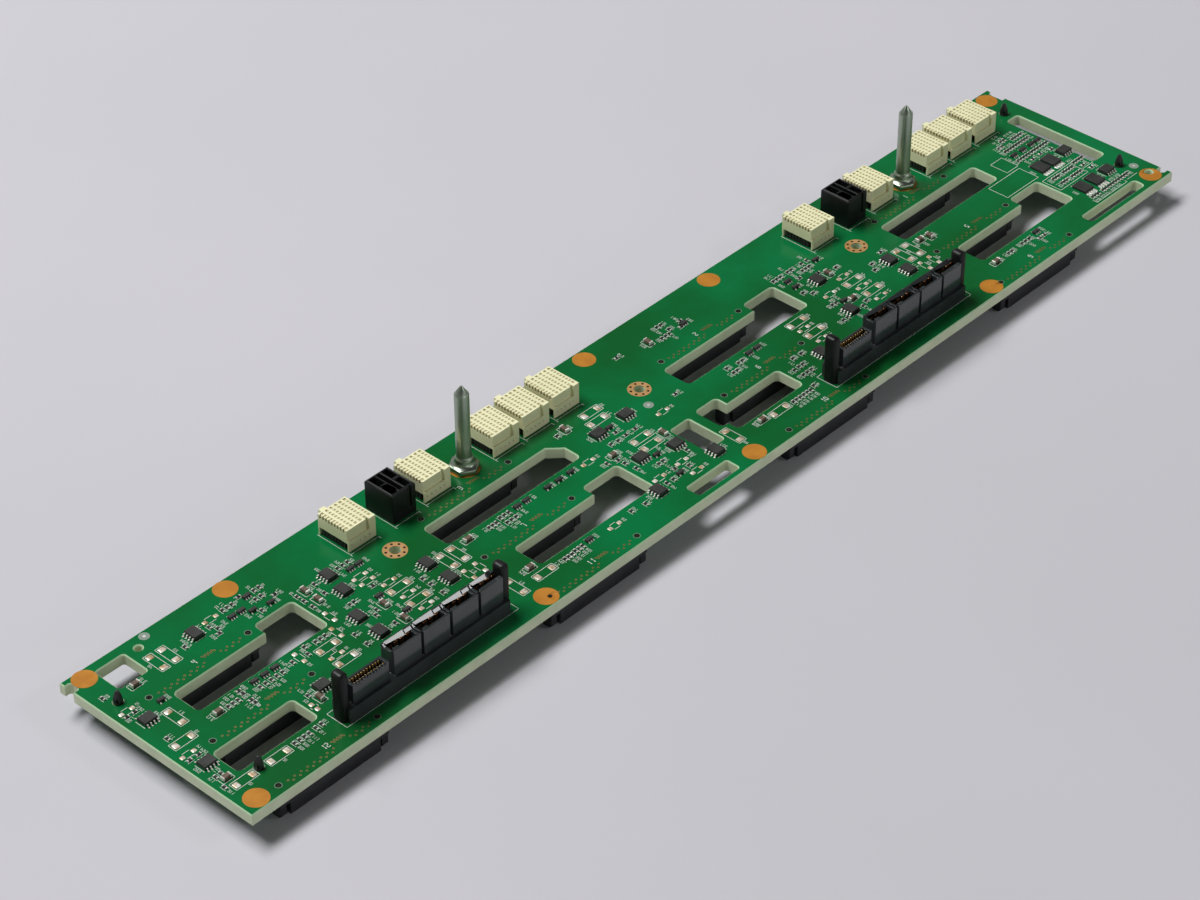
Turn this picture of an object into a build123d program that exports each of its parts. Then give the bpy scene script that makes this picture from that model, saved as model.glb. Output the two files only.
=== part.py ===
from build123d import *
import os

# Drive backplane board: a thick circuit board that stands on twelve drive
# sockets, with mating headers, guide pins and two supply sockets on top.
# X runs along the board, Y from the near edge to the far edge, Z up.
# The origin is under the middle of the board, on the plane of the socket faces.

# Board
board_width = 82.5
board_thickness = 4.2

# Drive sockets: four columns and three rows under the board
column_count = 4
row_count = 3
first_column = 32.9
column_pitch = 111.45
last_column_to_end = 76.15
first_row = 3.5
row_pitch = 27.45
socket_height = 6.4
socket_length = 42.6
socket_width = 5.3
socket_flange = 1.9
shroud_from_end = 3.5
slot_end_wall = 1.1
slot_width = 1.9
slot_depth = 5.0
slot_key_length = 1.4
slot_key_width = 1.1
slot_offset = 0.35
guide_post_length = 2.5
guide_post_width = 4.2
guide_post_bevel = 0.8
peg_from_end = 1.85
peg_across = 0.95
peg_length = 3.2
peg_clearance = 0.03
peg_hole_sides = 6
small_hole_sides = 8

# Air slots in the board: their ends are set out from the column of sockets they serve
upper_slot_ends = {"a": (-13.5, 38.0), "b": (-22.3, 36.7), "c": (-22.4, 37.8), "d": (-20.9, 31.1)}
upper_slot_lobes = {"a": (23.0, 38.0), "c": (23.2, 37.8)}
lower_slot_ends = {"a": (-23.1, 7.8), "b": (-10.3, 41.2), "c": (-29.5, 2.4), "d": (-13.0, 38.8)}
lower_slot_lobes = {"b": (25.7, 41.2), "c": (-32.4, -22.6), "d": (23.4, 38.8)}
air_slot_lobe_start = 4.5
clipped_slot = "b"
cut_corner = 4.4
air_slot_width = 11.0
air_slot_above_row = 12.5
air_slot_lobe_rise = 4.9
air_slot_radius = 1.5
small_cut_bevel = 0.9
square_hole_size = 10.9
square_hole_left = 10.2
square_hole_from_far_edge = 3.95
short_slot_ends = (-45.3, -36.8)
short_slot_front = 15.9
short_slot_back = 31.2
edge_slot_ends = (-63.9, -44.9)
edge_slot_front = 2.5
edge_slot_back = 7.9
corner_slot_length = 31.1
corner_slot_from_right = 13.6
corner_slot_back = 6.9
end_slot_width = 6.1
end_slot_length = 38.7
end_slot_from_right = 9.55
end_slot_centre = 44.35
end_slot_bevel = 1.3

# Notches and holes at the ends of the board
left_notch_width = 3.9
left_notch_depth = 2.5
left_notch_from_far_edge = 4.2
right_notch_width = 2.7
right_notch_depth = 2.9
right_notch_from_near_edge = 3.6
notch_bevel = 0.9
recess_length = 6.6
recess_depth = 1.7
recess_slope = 1.0
recess_from_far_edge = 5.0
tooling_hole_radius = 1.3
left_tooling_hole = 25.9
left_tooling_from_far_edge = 5.2
right_tooling_from_right = 5.5
right_tooling_hole = 6.2
screw_hole_radius = 1.85
screw_hole_from_far_edge = 28.95
screw_hole_before_column = 35.45

# Two groups of headers, each set out from the second of the two columns that it serves
second_group_shift = -2.0

# Signal headers: five in each group
header_lefts = (-45.75, -13.05, 17.95, 31.85, 45.95)
header_from_far_edge = 19.4
header_length = 11.6
header_width = 13.4
header_height = 8.0
header_columns = 6
header_column_pitch = 1.9
header_cell_width = 0.95
header_cell_depth = 2.0
header_rim = 0.55
header_leg = 1.1
header_tunnel = 2.3
header_step_height = 4.0
header_step_depth = 0.3
header_rib_width = 2.6
header_groove_width = 0.7
header_groove_depth = 0.7
header_key_width = 2.4
header_key_depth = 1.9
header_key_left = 2.1
header_key_height = 7.4

# Power headers: two, one in each group
power_header_left = -27.15
power_header_from_far_edge = 19.9
power_header_length = 10.0
power_header_width = 12.4
power_header_height = 11.0
power_wall = 1.0
power_trough = 1.6
power_web = 0.75
power_bridge = 1.2
power_pocket_depth = 7.5
power_header_bevel = 0.5
power_groove_width = 0.9
power_groove_depth = 0.5
power_groove_left = 7.2
power_groove_height = 8.0

# Guide pins: two, each clamped by a nut under the board
pin_from_column = 7.95
pin_from_far_edge = 16.0
pin_height = 32.2
pin_radius = 2.45
pin_tip_radius = 0.4
pin_tip_height = 3.0
pin_flange_across = 9.2
pin_flange_height = 2.1
pin_collar_radius = 3.2
pin_collar_height = 2.8
pin_stud_radius = 1.9
pin_stud_clearance = 0.1
nut_across = 7.0
nut_height = 2.6
nut_clearance = 0.05
stud_past_nut = 0.6

# Supply sockets: one for each group, near the front edge
supply_left = -100.95
supply_front = 6.8
supply_length = 69.6
supply_width = 7.6
supply_plinth_height = 5.2
supply_post_length = 3.4
supply_post_width = 5.0
supply_post_height = 17.5
supply_post_bevel = 0.9
supply_post_taper = 0.8
supply_wall_setback = 1.1
supply_body_width = 5.5
signal_left = 4.2
signal_length = 14.4
signal_height = 12.2
signal_width = 3.8
signal_slot_width = 2.2
signal_slot_end_wall = 0.9
signal_slot_depth = 8.0
signal_contact_count = 11
signal_contact_width = 0.5
signal_contact_thickness = 0.35
signal_contact_drop = 0.3
power_left = 20.8
power_pitch = 11.9
power_count = 4
power_gap = 0.55
power_height = 14.4
power_slot_width = 2.6
power_slot_end_wall = 0.8
power_slot_depth = 9.0
power_lead_in = 0.8
blade_count = 4
blade_width = 1.5
blade_thickness = 0.45
blade_drop = 1.0

# Snap posts: four, pushed up through the board
left_post_places = ((6.2, 63.6), (14.8, 13.0))
right_posts_from_right = 9.1
right_posts_across = (67.9, 16.7)
post_hole_radius = 1.5
post_shank_clearance = 0.1
post_barb_radius = 1.95
post_tip_radius = 0.35
post_barb_height = 4.5
post_head_radius = 3.2
post_head_height = 1.5

# Small parts soldered on top
chip_length = 4.9
chip_width = 3.9
chip_height = 1.5
power_chip_length = 5.0
power_chip_width = 6.0
power_chip_height = 1.1
capacitor_length = 3.2
capacitor_width = 1.7
capacitor_height = 1.4
array_length = 2.9
array_width = 1.5
array_height = 1.0

board_bottom = socket_height
board_top = board_bottom + board_thickness
board_length = first_column + (column_count - 1) * column_pitch + last_column_to_end
columns = [first_column + i * column_pitch for i in range(column_count)]
rows = [first_row + i * row_pitch for i in range(row_count)]
column_names = dict(zip("abcd", columns))
peg_spacing = socket_length - 2 * peg_from_end
shroud_length = socket_length - 2 * shroud_from_end
slot_length = shroud_length - 2 * slot_end_wall
groups = {"a": columns[1], "b": columns[3] + second_group_shift}
os.makedirs("parts", exist_ok=True)


def on_board(along, across, height=0.0):
    """A place given from the near left corner of the board, moved to the part's own frame."""
    return Pos(along - board_length / 2, across - board_width / 2, height)


def block(low, high):
    """A box between two opposite corners."""
    size = [b - a for a, b in zip(low, high)]
    return Pos(*low) * Box(*size, align=(Align.MIN, Align.MIN, Align.MIN))


def save(name, shape):
    """Write one node; a list of solids becomes a group."""
    if isinstance(shape, list):
        shape = Compound(children=shape)
    shape.label = name
    export_step(shape, os.path.join("parts", name + ".step"))


def rounded_cut(left, right, front, back, radius=air_slot_radius):
    """A routed opening with rounded corners, as a flat region."""
    middle = on_board((left + right) / 2, (front + back) / 2)
    return middle * RectangleRounded(right - left, back - front, radius)


def bevelled_cut(left, right, front, back, bevel=small_cut_bevel):
    """A small routed opening, its corners kept to a bevel."""
    middle = on_board((left + right) / 2, (front + back) / 2)
    return middle * chamfer(Rectangle(right - left, back - front).vertices(), bevel)


def notch(along, across, depth, width):
    """A notch in an end of the board, its inner end kept to a bevel."""
    plan = chamfer(Rectangle(2 * depth, width).vertices(), notch_bevel)
    return on_board(along, across) * plan


def small_hole(radius, sides=small_hole_sides):
    """A small drilled hole, kept to a few flat sides."""
    return RegularPolygon(radius, sides, major_radius=False)


def air_slot(column, row, ends, lobe):
    """An air slot above a socket. A lobe is a deeper stretch of the slot, set out like its ends."""
    front = row + air_slot_above_row
    back = front + air_slot_width
    cut = rounded_cut(column + ends[0], column + ends[1], front, back)
    if lobe:
        low = front + air_slot_lobe_start
        cut += rounded_cut(column + lobe[0], column + lobe[1], low, back + air_slot_lobe_rise)
    return cut


def snap_post_places():
    """The four snap posts, two near each end of the board."""
    right = board_length - right_posts_from_right
    return [*left_post_places, *((right, across) for across in right_posts_across)]


def guide_pin_places():
    return [(start + pin_from_column, board_width - pin_from_far_edge) for start in groups.values()]


def screw_hole_places():
    """The screw holes, one in each gap between columns of sockets."""
    across = board_width - screw_hole_from_far_edge
    return [(column - screw_hole_before_column, across) for column in columns[1:]]


# Circuit board
outline = Rectangle(board_length, board_width)
left_notch = notch(0, board_width - left_notch_from_far_edge, left_notch_depth, left_notch_width)
right_notch = notch(board_length, right_notch_from_near_edge, right_notch_depth, right_notch_width)
half_recess = recess_length / 2
recess = on_board(board_length, board_width - recess_from_far_edge) * Polygon(
    (0, -half_recess),
    (0, half_recess),
    (-recess_depth, half_recess - recess_slope),
    (-recess_depth, -half_recess),
    align=None,
)
cuts = [left_notch, right_notch, recess]

# Air slots: the upper row, one of them with a clipped corner, then the lower row
for name, column in column_names.items():
    upper_slot = air_slot(column, rows[1], upper_slot_ends[name], upper_slot_lobes.get(name))
    if name == clipped_slot:
        corner = column + upper_slot_ends[name][1], rows[1] + air_slot_above_row + air_slot_width
        upper_slot -= on_board(*corner) * Rot(0, 0, 45) * Rectangle(cut_corner * 2**0.5, 2 * cut_corner)
    cuts.append(upper_slot)
    cuts.append(air_slot(column, rows[0], lower_slot_ends[name], lower_slot_lobes.get(name)))

# Small openings: a square hole, a short slot, two slots along the near edge and one at the right end
square_right = square_hole_left + square_hole_size
square_back = board_width - square_hole_from_far_edge
square_front = square_back - square_hole_size
cuts.append(bevelled_cut(square_hole_left, square_right, square_front, square_back))
middle_column = columns[2]
short_left, short_right = [middle_column + end for end in short_slot_ends]
cuts.append(bevelled_cut(short_left, short_right, short_slot_front, short_slot_back))
edge_left, edge_right = [middle_column + end for end in edge_slot_ends]
cuts.append(bevelled_cut(edge_left, edge_right, edge_slot_front, edge_slot_back))
corner_right = board_length - corner_slot_from_right
corner_left = corner_right - corner_slot_length
cuts.append(bevelled_cut(corner_left, corner_right, edge_slot_front, corner_slot_back, end_slot_bevel))
end_slot_middle = board_length - end_slot_from_right
cuts.append(
    bevelled_cut(
        end_slot_middle - end_slot_width / 2,
        end_slot_middle + end_slot_width / 2,
        end_slot_centre - end_slot_length / 2,
        end_slot_centre + end_slot_length / 2,
        end_slot_bevel,
    )
)

# Drilled holes
peg_hole_radius = peg_across / 2**0.5 + peg_clearance
pegs = [side * peg_spacing / 2 for side in (-1, 1)]
peg_holes = [(c + p, r) for c in columns for r in rows for p in pegs]
holes = [on_board(*place) * small_hole(peg_hole_radius, peg_hole_sides) for place in peg_holes]
holes += [on_board(*place) * Circle(screw_hole_radius) for place in screw_hole_places()]
pin_hole_radius = pin_stud_radius + pin_stud_clearance
holes += [on_board(*place) * small_hole(pin_hole_radius) for place in guide_pin_places()]
holes += [on_board(*place) * small_hole(post_hole_radius) for place in snap_post_places()]
tooling_holes = [
    (left_tooling_hole, board_width - left_tooling_from_far_edge),
    (board_length - right_tooling_from_right, right_tooling_hole),
]
holes += [on_board(*place) * small_hole(tooling_hole_radius) for place in tooling_holes]

circuit_board = Pos(0, 0, board_bottom) * extrude(outline - cuts - holes, board_thickness)
save("circuit_board", circuit_board)


# Drive sockets: a flange on the board, a shroud with an L-shaped slot, two guide posts and two pegs
def drive_socket():
    half_width = socket_width / 2
    flange = block(
        (-socket_length / 2, -half_width, socket_height - socket_flange),
        (socket_length / 2, half_width, socket_height),
    )
    shroud = block((-shroud_length / 2, -half_width, 0), (shroud_length / 2, half_width, socket_height))
    low = -slot_offset - slot_width / 2
    slot = block((-slot_length / 2, low, 0), (slot_length / 2, low + slot_width, slot_depth))
    key_top = low + slot_width + slot_key_width
    slot += block((-slot_length / 2, low, 0), (-slot_length / 2 + slot_key_length, key_top, slot_depth))
    body = flange + shroud - slot
    for side in (-1, 1):
        middle = side * (socket_length - guide_post_length) / 2
        post = Box(guide_post_length, guide_post_width, socket_height)
        post = chamfer(post.faces().sort_by(Axis.Z)[0].edges().filter_by(Axis.X), guide_post_bevel)
        body += Pos(middle, 0, socket_height / 2) * post
        peg = extrude(Rectangle(peg_across, peg_across), peg_length)
        body += Pos(side * peg_spacing / 2, 0, socket_height) * peg
    return body


number = 0
for row in reversed(rows):
    for column in reversed(columns):
        number += 1
        save(f"drive_socket_{number}", on_board(column, row) * drive_socket())


# Signal headers: cream mouldings with long contact cells, open underneath from side to side
def signal_header():
    body = block((0, 0, 0), (header_length, header_width, header_height))
    step_end = header_length - header_rib_width
    body -= block((0, 0, header_step_height), (step_end, header_step_depth, header_height))
    groove_left = step_end - header_groove_width
    body -= block((groove_left, 0, header_step_height), (step_end, header_groove_depth, header_height))
    body -= block((0, header_leg, 0), (header_length, header_width - header_leg, header_tunnel))
    first = header_length / 2 - (header_columns - 1) * header_column_pitch / 2
    cell_front = header_groove_depth + header_rim
    for i in range(header_columns):
        left = first + i * header_column_pitch - header_cell_width / 2
        body -= block(
            (left, cell_front, header_height - header_cell_depth),
            (left + header_cell_width, header_width - header_rim, header_height),
        )
    key = block(
        (header_key_left, header_width, 0),
        (header_key_left + header_key_width, header_width + header_key_depth, header_key_height),
    )
    return body + key


for group, start in groups.items():
    for i, left in enumerate(header_lefts, start=1):
        place = on_board(start + left, board_width - header_from_far_edge, board_top)
        save(f"signal_header_{group}{i}", place * signal_header())


# Power headers: black blocks with a long middle trough and two pockets on each side of it
def power_header():
    body = block((0, 0, 0), (power_header_length, power_header_width, power_header_height))
    body = chamfer(body.faces().sort_by(Axis.Z)[-1].edges(), power_header_bevel)
    floor = power_header_height - power_pocket_depth
    middle = power_header_length / 2
    back = power_header_width - power_wall
    body -= block(
        (middle - power_trough / 2, power_wall, floor),
        (middle + power_trough / 2, back, power_header_height),
    )
    near = power_trough / 2 + power_web
    far = power_header_length / 2 - power_wall
    pocket_reach = power_header_width / 2 - power_bridge / 2
    for side in (-1, 1):
        left, right = sorted((middle + side * near, middle + side * far))
        for front, rear in ((power_wall, pocket_reach), (power_header_width - pocket_reach, back)):
            body -= block((left, front, floor), (right, rear, power_header_height))
    groove_low = power_header_height - power_groove_height
    body -= block(
        (power_groove_left, 0, groove_low),
        (power_groove_left + power_groove_width, power_groove_depth, power_header_height),
    )
    return body


for group, start in groups.items():
    place = on_board(start + power_header_left, board_width - power_header_from_far_edge, board_top)
    save(f"power_header_{group}", place * power_header())


# Guide pins: turned steel with a hex flange, and a stud through the board
def guide_pin():
    hexagon = RegularPolygon(pin_flange_across / 2, 6, major_radius=False)
    flange = extrude(hexagon, pin_flange_height)
    stud_length = board_thickness + nut_clearance + nut_height + stud_past_nut
    stud = extrude(small_hole(pin_stud_radius), -stud_length)
    collar_top = pin_flange_height + pin_collar_height
    profile = Plane.XZ * Polyline(
        (0, 0),
        (pin_collar_radius, 0),
        (pin_collar_radius, collar_top),
        (pin_radius, collar_top),
        (pin_radius, pin_height - pin_tip_height),
        (pin_tip_radius, pin_height),
        (0, pin_height),
        close=True,
    )
    return revolve(make_face(profile), Axis.Z) + flange + stud


for group, place in zip(groups, guide_pin_places()):
    save(f"guide_pin_{group}", on_board(*place, board_top) * guide_pin())


# Nuts that clamp the guide pins from under the board
def pin_nut():
    hexagon = RegularPolygon(nut_across / 2, 6, major_radius=False)
    return extrude(hexagon - small_hole(pin_stud_radius + nut_clearance), -nut_height)


nuts = [on_board(*place, board_bottom - nut_clearance) * pin_nut() for place in guide_pin_places()]
save("guide_pin_nuts", nuts)


# Supply sockets: a plinth with an end post at each end, a signal section and four power sections
body_front = supply_wall_setback
body_back = supply_wall_setback + supply_body_width
body_middle = (body_front + body_back) / 2
signal_back = body_front + signal_width
signal_middle = (body_front + signal_back) / 2
signal_floor = signal_height - signal_slot_depth
power_floor = power_height - power_slot_depth
power_section = power_pitch - power_gap


def signal_slot():
    """Where the signal slot lies along the socket: its two ends."""
    left = signal_left + signal_slot_end_wall
    return left, signal_left + signal_length - signal_slot_end_wall


def power_slot(i):
    """Where the slot of one power section lies along the socket: its two ends."""
    left = power_left + i * power_pitch
    return left + power_slot_end_wall, left + power_section - power_slot_end_wall


def supply_post():
    """An end post with bevelled corners and a tapered top."""
    plan = Rectangle(supply_post_length, supply_post_width)
    post = extrude(chamfer(plan.vertices(), supply_post_bevel), supply_post_height)
    return chamfer(post.faces().sort_by(Axis.Z)[-1].edges(), supply_post_taper)


def supply_socket():
    body = block(
        (supply_post_length / 2, 0, 0),
        (supply_length - supply_post_length / 2, supply_width, supply_plinth_height),
    )
    for along in (supply_post_length / 2, supply_length - supply_post_length / 2):
        body += Pos(along, body_middle, 0) * supply_post()
    body += block((signal_left, body_front, 0), (signal_left + signal_length, signal_back, signal_height))
    left, right = signal_slot()
    half = signal_slot_width / 2
    body -= block((left, signal_middle - half, signal_floor), (right, signal_middle + half, signal_height))
    for i in range(power_count):
        start = power_left + i * power_pitch
        body += block((start, body_front, 0), (start + power_section, body_back, power_height))
        left, right = power_slot(i)
        half = power_slot_width / 2
        body -= block((left, body_middle - half, power_floor), (right, body_middle + half, power_height))
        wide = half + power_lead_in
        funnel = Plane.YZ * Polyline(
            (body_middle - half, power_height - power_lead_in),
            (body_middle - wide, power_height),
            (body_middle + wide, power_height),
            (body_middle + half, power_height - power_lead_in),
            close=True,
        )
        body -= Pos(left, 0, 0) * extrude(make_face(funnel), right - left)
    return body


def signal_contacts():
    """Two facing rows of spring contacts on the walls of the signal slot."""
    left, right = signal_slot()
    step = (right - left) / signal_contact_count
    top = signal_height - signal_contact_drop
    contacts = []
    for side in (-1, 1):
        wall = signal_middle + side * signal_slot_width / 2
        low, high = sorted((wall, wall - side * signal_contact_thickness))
        for i in range(signal_contact_count):
            middle = left + (i + 0.5) * step
            start = middle - signal_contact_width / 2
            contacts.append(block((start, low, signal_floor), (start + signal_contact_width, high, top)))
    return contacts


def power_contacts():
    """A row of broad blades on the back wall of each power slot."""
    top = power_height - blade_drop
    wall = body_middle + power_slot_width / 2
    contacts = []
    for i in range(power_count):
        left, right = power_slot(i)
        step = (right - left) / blade_count
        for k in range(blade_count):
            start = left + (k + 0.5) * step - blade_width / 2
            low = (start, wall - blade_thickness, power_floor)
            contacts.append(block(low, (start + blade_width, wall, top)))
    return contacts


for number, start in enumerate(groups.values(), start=1):
    place = on_board(start + supply_left, supply_front, board_top)
    save(f"supply_socket_{number}", place * supply_socket())
    save(f"supply_signal_contacts_{number}", [place * contact for contact in signal_contacts()])
    save(f"supply_power_contacts_{number}", [place * contact for contact in power_contacts()])


# Snap posts: a barbed tip on top of the board, a shank in its hole and a flat head underneath
def snap_post():
    head = extrude(small_hole(post_head_radius), -post_head_height)
    shank = extrude(small_hole(post_hole_radius - post_shank_clearance), -board_thickness)
    tip = Pos(0, 0, post_barb_height) * small_hole(post_tip_radius)
    return loft([small_hole(post_barb_radius), tip]) + shank + Pos(0, 0, -board_thickness) * head


save("snap_posts", [on_board(*place, board_top) * snap_post() for place in snap_post_places()])


# Small parts, each set out from the centre of a drive socket, named by its column and row
bays = {}
for name, column in column_names.items():
    for i, row in enumerate(rows, start=1):
        bays[f"{name}{i}"] = column, row


def small_part(length, width, height):
    return Box(length, width, height, align=(Align.CENTER, Align.CENTER, Align.MIN))


def placed(bay, along, across, turn=0):
    column, row = bays[bay]
    return on_board(column + along, row + across, board_top) * Rot(0, 0, turn)


chips_leads_along = [
    ("a3", 8.0, 11.0), ("a3", 53.4, 1.2), ("a3", 51.7, -7.2), ("a2", 46.1, 8.2), ("a2", 45.9, -1.5),
    ("a2", 77.6, 10.4), ("a2", 77.6, 0.8), ("b1", 40.1, 9.6), ("b1", 67.7, 10.0), ("c3", 50.8, -8.4),
    ("c2", 44.9, -0.2), ("c2", 76.4, 8.6), ("c2", 76.4, 0.2), ("c1", 19.5, 18.8),
]
chips_leads_across = [
    ("a2", -26.2, 20.3), ("a2", -27.0, -6.0), ("a2", 17.6, -6.4), ("b2", 48.9, 15.8), ("b2", 62.4, 16.3),
    ("b2", 48.9, -2.5), ("b2", 61.6, -6.0), ("d2", 60.9, 5.5), ("d1", 60.9, 14.2),
]
chip = small_part(chip_width, chip_length, chip_height)
chips = [placed(*place) * chip for place in chips_leads_along]
chips += [placed(*place, 90) * chip for place in chips_leads_across]
save("driver_chips", chips)

power_chip_places = [("d2", 46.6, 5.2), ("d2", 52.8, 5.2), ("d1", 46.3, 13.8), ("d1", 53.2, 13.8)]
power_chip = small_part(power_chip_length, power_chip_width, power_chip_height)
save("power_chips", [placed(*place) * power_chip for place in power_chip_places])

capacitor_places = [
    ("a3", -18.7, 7.0), ("a2", -10.4, 7.6), ("a1", -27.4, 13.0), ("b2", -17.1, 9.5), ("b1", -14.1, 13.5),
    ("b2", 43.9, 5.0), ("c1", -21.6, 9.5), ("c2", 50.4, 3.5), ("d2", -18.2, 8.5), ("d1", -11.2, 8.3),
]
turned_capacitor_places = [
    ("a1", 13.8, 18.0), ("a3", 43.8, 1.2), ("a3", 43.8, -4.6), ("a2", 55.7, 6.7), ("a2", 55.3, -2.5),
    ("b3", 43.4, -1.9), ("b2", 63.4, 1.0), ("c3", -14.6, 10.1), ("c3", 56.4, -8.4), ("d2", -13.9, 7.5),
]
capacitor = small_part(capacitor_length, capacitor_width, capacitor_height)
capacitors = [placed(*place) * capacitor for place in capacitor_places]
capacitors += [placed(*place, 90) * capacitor for place in turned_capacitor_places]
save("ceramic_capacitors", capacitors)

array_places = [
    ("a2", 5.7, 9.8), ("a2", 9.8, 9.8), ("a2", 13.9, 9.8), ("a3", 21.0, 8.6), ("a3", 24.6, 8.6),
    ("a3", 30.3, 12.4), ("a3", 60.3, -1.4), ("a3", 63.8, -1.4), ("a2", 57.3, 10.5), ("a2", 58.4, -0.2),
    ("b2", 4.9, 9.5), ("b2", 8.9, 9.5), ("b1", 7.9, 9.3), ("c3", 1.4, 8.6),
    ("c2", 3.4, 9.0), ("c2", 7.4, 9.0), ("c3", 43.4, -1.4), ("d2", 46.8, 17.0), ("d2", 51.8, 17.0),
    ("d2", 56.8, 17.0), ("d1", 12.8, 9.3),
]
array = small_part(array_length, array_width, array_height)
save("resistor_arrays", [placed(*place) * array for place in array_places])
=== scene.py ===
import math

import bmesh
import bpy
from mathutils import Matrix, Vector


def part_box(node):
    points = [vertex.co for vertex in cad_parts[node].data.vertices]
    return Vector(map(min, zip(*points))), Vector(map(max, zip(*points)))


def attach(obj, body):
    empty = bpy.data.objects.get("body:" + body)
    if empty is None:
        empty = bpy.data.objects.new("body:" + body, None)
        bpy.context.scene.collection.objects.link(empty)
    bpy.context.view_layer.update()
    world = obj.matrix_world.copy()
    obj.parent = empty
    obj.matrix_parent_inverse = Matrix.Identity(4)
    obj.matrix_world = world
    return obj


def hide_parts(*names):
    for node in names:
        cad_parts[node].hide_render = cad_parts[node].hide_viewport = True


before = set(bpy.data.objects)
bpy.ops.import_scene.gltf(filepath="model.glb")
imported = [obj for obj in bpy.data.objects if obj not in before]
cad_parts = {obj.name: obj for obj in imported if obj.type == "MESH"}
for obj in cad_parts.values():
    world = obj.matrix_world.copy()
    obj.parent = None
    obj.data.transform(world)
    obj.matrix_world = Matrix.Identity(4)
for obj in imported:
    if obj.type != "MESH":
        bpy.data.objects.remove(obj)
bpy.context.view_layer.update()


# Circuit board: a thick multilayer laminate of glass cloth and epoxy, routed to shape.
# Both faces have a green solder mask, which stops short of every routed edge and leaves
# a pale rim of bare laminate there. The cut walls show the pressed layers.
mm = 0.001
board_low, board_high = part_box("circuit_board")
rim_width = 0.36 * mm
layer_lines = 620.0
drilled_sides = 8
drilled_reach = 2.6 * mm
round_sides = 28
arc_steps = 7


def on_board(along, across, height=0.0):
    """A place in mm from the board's near left corner and its top face, in the part's own frame."""
    return Vector((board_low.x + along * mm, board_low.y + across * mm, board_high.z + height * mm))


def add(tree, kind, inputs=None, **settings):
    """Add a node. Settings are its own options; inputs are plain values or the sockets that feed it."""
    made = tree.nodes.new(kind)
    for name, value in settings.items():
        setattr(made, name, value)
    for name, value in (inputs or {}).items():
        if isinstance(value, bpy.types.NodeSocket):
            tree.links.new(value, made.inputs[name])
        else:
            made.inputs[name].default_value = value
    return made


def blend_colours(tree, share, first, second):
    """A colour mix; share 0 gives the first colour."""
    made = add(tree, "ShaderNodeMix", {0: share, 6: first, 7: second}, data_type="RGBA")
    return made.outputs[2]


def blend_values(tree, share, first, second):
    """A number mix; share 0 gives the first number."""
    made = add(tree, "ShaderNodeMix", {0: share, 2: first, 3: second})
    return made.outputs[0]


def colour(red, green, blue):
    return (red, green, blue, 1.0)


def surface_variation():
    """Shared by every finish: slow changes of tone and gloss, and a fine grain for the bump."""
    tree = bpy.data.node_groups.new("Surface variation", "ShaderNodeTree")
    face = tree.interface
    for name in ("Light", "Dark"):
        face.new_socket(name=name, in_out="INPUT", socket_type="NodeSocketColor")
    for name in ("Patch Scale", "Grain Scale", "Smoothest", "Roughest"):
        face.new_socket(name=name, in_out="INPUT", socket_type="NodeSocketFloat")
    face.new_socket(name="Color", in_out="OUTPUT", socket_type="NodeSocketColor")
    for name in ("Roughness", "Height"):
        face.new_socket(name=name, in_out="OUTPUT", socket_type="NodeSocketFloat")
    given = tree.nodes.new("NodeGroupInput").outputs
    where = add(tree, "ShaderNodeTexCoord").outputs["Object"]
    patch = add(
        tree, "ShaderNodeTexNoise", {"Vector": where, "Scale": given["Patch Scale"], "Detail": 5.0}
    )
    grain = add(
        tree, "ShaderNodeTexNoise", {"Vector": where, "Scale": given["Grain Scale"], "Detail": 3.0}
    )
    tone = add(tree, "ShaderNodeMapRange", {"Value": patch.outputs[0], "From Min": 0.36, "From Max": 0.64})
    mixed = add(tree, "ShaderNodeMath", {0: tone.outputs[0], 1: grain.outputs[0]}, operation="MULTIPLY")
    out = tree.nodes.new("NodeGroupOutput")
    links = {
        "Color": blend_colours(tree, tone.outputs[0], given["Light"], given["Dark"]),
        "Roughness": blend_values(tree, mixed.outputs[0], given["Smoothest"], given["Roughest"]),
        "Height": grain.outputs[0],
    }
    for name, socket in links.items():
        tree.links.new(socket, out.inputs[name])
    return tree


variation = surface_variation()


def varied(tree, light, dark, patch, grain, smoothest, roughest):
    """Place the shared variation in a material with its own values."""
    inputs = {
        "Light": colour(*light),
        "Dark": colour(*dark),
        "Patch Scale": patch,
        "Grain Scale": grain,
        "Smoothest": smoothest,
        "Roughest": roughest,
    }
    return add(tree, "ShaderNodeGroup", inputs, node_tree=variation).outputs


def finish(name, light, dark, patch, grain, rough, bump, metallic=0.0, specular=0.5):
    """A plain varied finish: two tones, a range of roughness and a fine bump."""
    material = bpy.data.materials.new(name)
    material.use_nodes = True
    tree = material.node_tree
    shader = tree.nodes["Principled BSDF"]
    look = varied(tree, light, dark, patch, grain, *rough)
    height = add(tree, "ShaderNodeBump", {"Height": look["Height"], "Strength": bump, "Distance": 0.05 * mm})
    tree.links.new(look["Color"], shader.inputs["Base Color"])
    tree.links.new(look["Roughness"], shader.inputs["Roughness"])
    tree.links.new(height.outputs[0], shader.inputs["Normal"])
    shader.inputs["Metallic"].default_value = metallic
    shader.inputs["Specular IOR Level"].default_value = specular
    return material


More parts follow.
